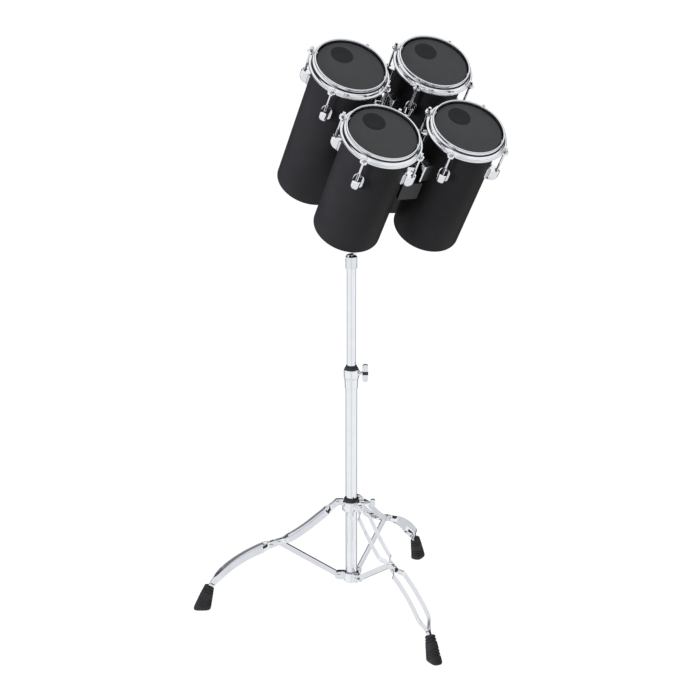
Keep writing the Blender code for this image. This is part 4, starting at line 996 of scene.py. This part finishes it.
def leg_line():
    upper = curve(COLLAR_PIN, radians(41), KNEE_PIN, radians(17), 0.45, 0.25, 40)
    lower = curve(KNEE_PIN, radians(17), NECK, NECK_SLOPE, 0.40, 0.25, 60)
    points = upper + lower[1:]
    heading = Vector((cos(NECK_SLOPE), -sin(NECK_SLOPE)))
    for i in range(1, 5):
        points.append(NECK + heading * 19.4 * mm * i / 4)
    distances = [0.0]
    for a, b in zip(points, points[1:]):
        distances.append(distances[-1] + (b - a).length)
    return points, distances


def strip_mesh(side):
    points, distances = leg_line()
    knee, neck = distances[40], distances[100]
    together, wide, foot = 5.0 * mm, 13.5 * mm, 1.5 * mm
    spread_out = [
        (0.0, together),
        (18.0 * mm, together),
        (31.0 * mm, wide),
        (knee - 23.0 * mm, wide),
        (knee - 10.0 * mm, together),
        (knee + 23.0 * mm, together),
        (knee + 36.0 * mm, wide),
        (neck - 42.5 * mm, wide),
        (neck - 6.5 * mm, foot),
        (distances[-1], foot),
    ]
    heights = [
        (0.0, 12.5 * mm),
        (knee - 11.0 * mm, 12.5 * mm),
        (knee + 24.0 * mm, 14.5 * mm),
        (neck - 36.0 * mm, 14.5 * mm),
        (distances[-1], 12.5 * mm),
    ]
    half_thick = 1.2 * mm
    soft = 0.45 * mm
    end = 6.25 * mm
    stations = [(-end * s, sqrt(max(1 - s * s, 0.01))) for s in (0.995, 0.95, 0.85, 0.7, 0.5, 0.25)]
    stations += [(d, 1.0) for d in distances]
    rings = []
    for distance, scale in stations:
        i = 0
        while i < len(points) - 2 and distances[i + 1] < distance:
            i += 1
        heading = (points[i + 1] - points[max(i - 1, 0)]).normalized()
        spot = points[i] + (points[i + 1] - points[i]).normalized() * (distance - distances[i])
        reach = max(distance, 0.0)
        off = side * smooth_between(spread_out, reach)
        half = smooth_between(heights, reach) / 2 * scale
        up = Vector((-heading.y, heading.x))
        corners = [
            (-half, -half_thick + soft), (-half + soft, -half_thick), (half - soft, -half_thick),
            (half, -half_thick + soft), (half, half_thick - soft), (half - soft, half_thick),
            (-half + soft, half_thick), (-half, half_thick - soft),
        ]
        ring = []
        for rise, across in corners:
            here = spot + up * rise - COLLAR_PIN
            ring.append(Vector((here.x, off + across, here.y)))
        rings.append(ring)
    return mesh_of("strip", loft(rings), chrome, 40)


def brace_mesh():
    knee = KNEE_PIN - HUB_PIN
    outline = stadium((0.0, 0.0), knee, 5.75 * mm, 14)
    parts = []
    for low, high in ((2.3 * mm, 3.5 * mm), (-3.5 * mm, -2.3 * mm)):
        parts.append(upright(prism(outline, low, high)))
    parts.append(rod((knee.x, -2.4 * mm, knee.y), (knee.x, 2.4 * mm, knee.y), 4.5 * mm))
    parts.append(rod((0, -7.0 * mm, 0), (0, 7.0 * mm, 0), 3.0 * mm))
    return mesh_of("brace", merged(*parts), chrome, 35)


def boot_mesh():
    """Rubber boot: two bands at the neck, three chevron bands lower down and a flat sole."""
    top = Vector((319.2 * mm, 56.0 * mm)) - COLLAR_PIN
    sole = Vector((337.9 * mm, 0.0)) - COLLAR_PIN
    rings = []
    levels, count = 110, 64
    for k in range(levels + 1):
        share = k / levels
        turned = radians(22.6) * (1.0 - share ** 2)
        across = Vector((cos(turned), sin(turned)))
        a = (10.8 + 9.0 * share ** 0.9) * mm
        b = (9.3 + 4.1 * share) * mm
        inset = 2.0 * mm * (1 - share / 0.05) ** 2 if share < 0.05 else 0.0
        if share > 0.91:
            inset = 3.6 * mm * (1 - sqrt(max(1 - ((share - 0.91) / 0.09) ** 2, 0.0)))
        centre = top.lerp(sole, share)
        ring = []
        for i in range(count):
            angle = 2 * pi * (i + 0.5) / count
            u = abs(cos(angle)) ** 0.66 * (1 if cos(angle) > 0 else -1)
            v = abs(sin(angle)) ** 0.66 * (1 if sin(angle) > 0 else -1)
            groove = 0.0
            for spot, slant in BANDS:
                away = abs(share + slant * abs(u) - spot) / 0.024
                groove = max(groove, 1.0 - away ** 2 if away < 1 else 0.0)
            shrink = inset + 1.8 * mm * groove
            spot = centre + across * (a - shrink) * u
            ring.append(Vector((spot.x, (b - shrink) * v, spot.y)))
        rings.append(ring)
    bm = loft(rings)
    neck = NECK - COLLAR_PIN
    heading = Vector((cos(NECK_SLOPE), -sin(NECK_SLOPE)))
    side = Vector((-heading.y, heading.x))
    rings = []
    for reach in (-20 * mm, 20 * mm):
        spot = neck + heading * reach
        a, b = spot + side * 7.5 * mm, spot - side * 7.5 * mm
        rings.append([
            Vector((a.x, -3 * mm, a.y)), Vector((a.x, 3 * mm, a.y)),
            Vector((b.x, 3 * mm, b.y)), Vector((b.x, -3 * mm, b.y)),
        ])
    return mesh_of("boot", cut(bm, loft(rings)), rubber_black, 50)


def leg_pieces():
    strips = {"a": strip_mesh(1), "b": strip_mesh(-1)}
    brace, boot = brace_mesh(), boot_mesh()
    knee = KNEE_PIN - COLLAR_PIN
    spacer = (knee.x + 16.8 * mm, knee.y - 7.5 * mm)
    spots = [(0, 0), tuple(knee), spacer]
    heads = mesh_of("leg_rivets", rivets(spots, (6.2 * mm, -6.2 * mm), 4.3 * mm), chrome)
    pins = merged(
        rod((0, -6.3 * mm, 0), (0, 6.3 * mm, 0), 3.0 * mm),
        rod((spacer[0], -6.3 * mm, spacer[1]), (spacer[0], 6.3 * mm, spacer[1]), 4.6 * mm),
    )
    pins = mesh_of("leg_pins", pins, nylon_black)
    # The slots near the neck are not cut: thin plates in the black nylon finish lie on each strip's outer face
    # as painted shade standing for the dark slot openings.
    slot_shades = []
    for side in (-1, 1):
        heading = Vector((cos(radians(60)), -sin(radians(60))))
        spot = NECK - COLLAR_PIN - heading * 11.0 * mm
        slot = block((-1.1 * mm, -0.3 * mm, -4.6 * mm), (1.1 * mm, 0.3 * mm, 4.6 * mm))
        lean = Matrix.Rotation(radians(60), 4, "Y")
        slot_shades.append(moved(slot, Matrix.Translation((spot.x, side * 3.3 * mm, spot.y)) @ lean))
    slot_shades = mesh_of("neck_slot_shades", merged(*slot_shades), nylon_black)
    hub_heads = mesh_of("hub_rivets", rivets([(0, 0)], (6.7 * mm, -6.7 * mm), 4.4 * mm), chrome)
    for name, azimuth in LEGS.items():
        turn = COLUMN @ Matrix.Rotation(azimuth, 4, "Z")
        hinge = turn @ Matrix.Translation((COLLAR_PIN.x, 0.0, COLLAR_PIN.y))
        for tag, mesh in strips.items():
            place(name + "_bar_" + tag, mesh, hinge, name, [name + "_strip_" + tag])
        place(name + "_rivets", heads, hinge, name)
        place(name + "_pins", pins, hinge, name)
        # Painted shade plates for the neck slots.
        place(name + "_neck_slot_shades", slot_shades, hinge, name)
        place(name + "_foot", boot, hinge, name, [name + "_boot"])
        hub = turn @ Matrix.Translation((HUB_PIN.x, 0.0, HUB_PIN.y))
        place(name + "_stay", brace, hub, name + "_brace", [name + "_brace"])
        place(name + "_stay_rivets", hub_heads, hub, name + "_brace")


# Floor, light and camera

def floor():
    side = 30.0
    bm = bmesh.new()
    corners = [bm.verts.new((x * side, y * side, 0.0)) for x, y in ((-1, -1), (1, -1), (1, 1), (-1, 1))]
    bm.faces.new(corners)
    mesh = bpy.data.meshes.new("floor")
    bm.to_mesh(mesh)
    bm.free()
    thing = bpy.data.objects.new("floor", mesh)
    bpy.context.scene.collection.objects.link(thing)
    made = bpy.data.materials.new("floor_white")
    made.use_nodes = True
    tree = made.node_tree
    shader = tree.nodes["Principled BSDF"]
    shader.inputs["Base Color"].default_value = (0.45, 0.45, 0.45, 1.0)
    shader.inputs["Roughness"].default_value = 0.9
    path = add_node(tree, "ShaderNodeLightPath")
    glow = add_node(tree, "ShaderNodeEmission")
    glow.inputs["Strength"].default_value = 1.22
    mix = add_node(tree, "ShaderNodeMixShader")
    share = add_node(tree, "ShaderNodeMath", operation="MULTIPLY")
    share.inputs[1].default_value = 0.82
    link(tree, path.outputs["Is Camera Ray"], share.inputs[0])
    link(tree, share.outputs[0], mix.inputs["Fac"])
    link(tree, shader.outputs["BSDF"], mix.inputs[1])
    link(tree, glow.outputs["Emission"], mix.inputs[2])
    link(tree, mix.outputs["Shader"], tree.nodes["Material Output"].inputs["Surface"])
    mesh.materials.append(made)
    thing.visible_glossy = False


def softbox(name, spot, aim, width, height, power, colour):
    data = bpy.data.lights.new(name, "AREA")
    data.shape = "RECTANGLE"
    data.size = width
    data.size_y = height
    data.energy = power
    data.color = colour
    lamp = bpy.data.objects.new(name, data)
    bpy.context.scene.collection.objects.link(lamp)
    lamp.visible_glossy = False
    lamp.location = spot
    lamp.rotation_euler = (Vector(aim) - Vector(spot)).to_track_quat("-Z", "Y").to_euler()


def studio():
    """Reflections see bright walls, a dark ceiling with a bright middle and a dark back."""
    world = bpy.data.worlds.new("studio")
    bpy.context.scene.world = world
    world.use_nodes = True
    tree = world.node_tree
    tree.nodes.clear()
    out = add_node(tree, "ShaderNodeOutputWorld")
    where = add_node(tree, "ShaderNodeTexCoord")
    split = add_node(tree, "ShaderNodeSeparateXYZ")
    link(tree, where.outputs["Generated"], split.inputs["Vector"])
    back = add_node(tree, "ShaderNodeMath", operation="MULTIPLY")
    back.inputs[1].default_value = -1.0
    link(tree, split.outputs["Y"], back.inputs[0])
    around = add_node(tree, "ShaderNodeMath", operation="ARCTAN2")
    link(tree, split.outputs["X"], around.inputs[0])
    link(tree, back.outputs[0], around.inputs[1])
    size = add_node(tree, "ShaderNodeMath", operation="ABSOLUTE")
    link(tree, around.outputs[0], size.inputs[0])
    turn = spread(tree, size.outputs[0], 0.0, 1.0)
    turn.node.inputs["From Max"].default_value = pi
    walls = ramp(tree, turn, [
        (0.0, (0.80, 0.82, 0.85)),
        (0.06, (0.84, 0.86, 0.89)),
        (0.12, (0.97, 0.98, 1.0)),
        (0.60, (0.97, 0.98, 1.0)),
        (0.72, (0.60, 0.62, 0.65)),
        (0.79, (0.06, 0.06, 0.07)),
        (0.92, (0.12, 0.12, 0.13)),
        (1.0, (0.30, 0.30, 0.32)),
    ])
    height = spread(tree, split.outputs["Z"], 0.0, 1.0)
    height.node.inputs["From Min"].default_value = -1.0
    ends = ramp(tree, height, [(0.0, (1.0, 1.0, 1.0)), (0.14, (1.0, 1.0, 1.0)), (0.24, (0.0, 0.0, 0.0))])
    lid = ramp(tree, height, [(0.49, (0.0, 0.0, 0.0)), (0.53, (1.0, 1.0, 1.0))])
    ceiling = ramp(tree, height, [
        (0.50, (0.20, 0.20, 0.22)),
        (0.56, (0.02, 0.02, 0.025)),
        (0.74, (0.05, 0.05, 0.06)),
        (0.80, (0.75, 0.77, 0.80)),
        (0.86, (1.0, 1.0, 1.0)),
    ])
    top = add_node(tree, "ShaderNodeMix", data_type="RGBA", blend_type="MIX")
    link(tree, lid, top.inputs[0])
    link(tree, walls, top.inputs[6])
    link(tree, ceiling, top.inputs[7])
    sky = add_node(tree, "ShaderNodeMix", data_type="RGBA", blend_type="MIX")
    sky.inputs[7].default_value = (0.85, 0.86, 0.88, 1.0)
    link(tree, ends, sky.inputs[0])
    link(tree, top.outputs[2], sky.inputs[6])
    shiny = add_node(tree, "ShaderNodeBackground")
    link(tree, sky.outputs[2], shiny.inputs["Color"])
    soft = add_node(tree, "ShaderNodeBackground")
    soft.inputs["Color"].default_value = (0.22, 0.22, 0.23, 1.0)
    white = add_node(tree, "ShaderNodeBackground")
    path = add_node(tree, "ShaderNodeLightPath")
    first = add_node(tree, "ShaderNodeMixShader")
    link(tree, path.outputs["Is Glossy Ray"], first.inputs["Fac"])
    link(tree, soft.outputs["Background"], first.inputs[1])
    link(tree, shiny.outputs["Background"], first.inputs[2])
    mix = add_node(tree, "ShaderNodeMixShader")
    link(tree, path.outputs["Is Camera Ray"], mix.inputs["Fac"])
    link(tree, first.outputs["Shader"], mix.inputs[1])
    link(tree, white.outputs["Background"], mix.inputs[2])
    link(tree, mix.outputs["Shader"], out.inputs["Surface"])
    softbox("key", (-3.0, -2.2, 1.3), (0.1, 0.0, 0.9), 1.0, 2.0, 190.0, (0.86, 0.90, 1.0))
    softbox("fill", (2.6, -2.4, 1.7), (0.1, 0.0, 0.8), 1.0, 2.0, 26.0, (1.0, 0.93, 0.90))
    softbox("rim", (0.4, 2.8, 2.8), (0.1, 0.0, 0.9), 2.6, 1.2, 30.0, (1.0, 1.0, 1.0))


def camera():
    data = bpy.data.cameras.new("photo_view")
    data.sensor_width = 36.0
    data.lens = LENS
    data.clip_end = 100.0
    made = bpy.data.objects.new("photo_view", data)
    bpy.context.scene.collection.objects.link(made)
    made.location = (COLUMN.translation.x + CAMERA_SIDE, COLUMN.translation.y - CAMERA_BACK, CAMERA_HEIGHT)
    made.rotation_euler = (pi / 2 - CAMERA_DIP, 0.0, 0.0)
    bpy.context.scene.camera = made


camera()
drums()
frame_pieces()
tilter_pieces()
column_pieces()
collar_pieces()
hub_piece()
leg_pieces()
floor()
studio()
bpy.context.scene.view_settings.view_transform = "Standard"

bpy.context.view_layer.update()
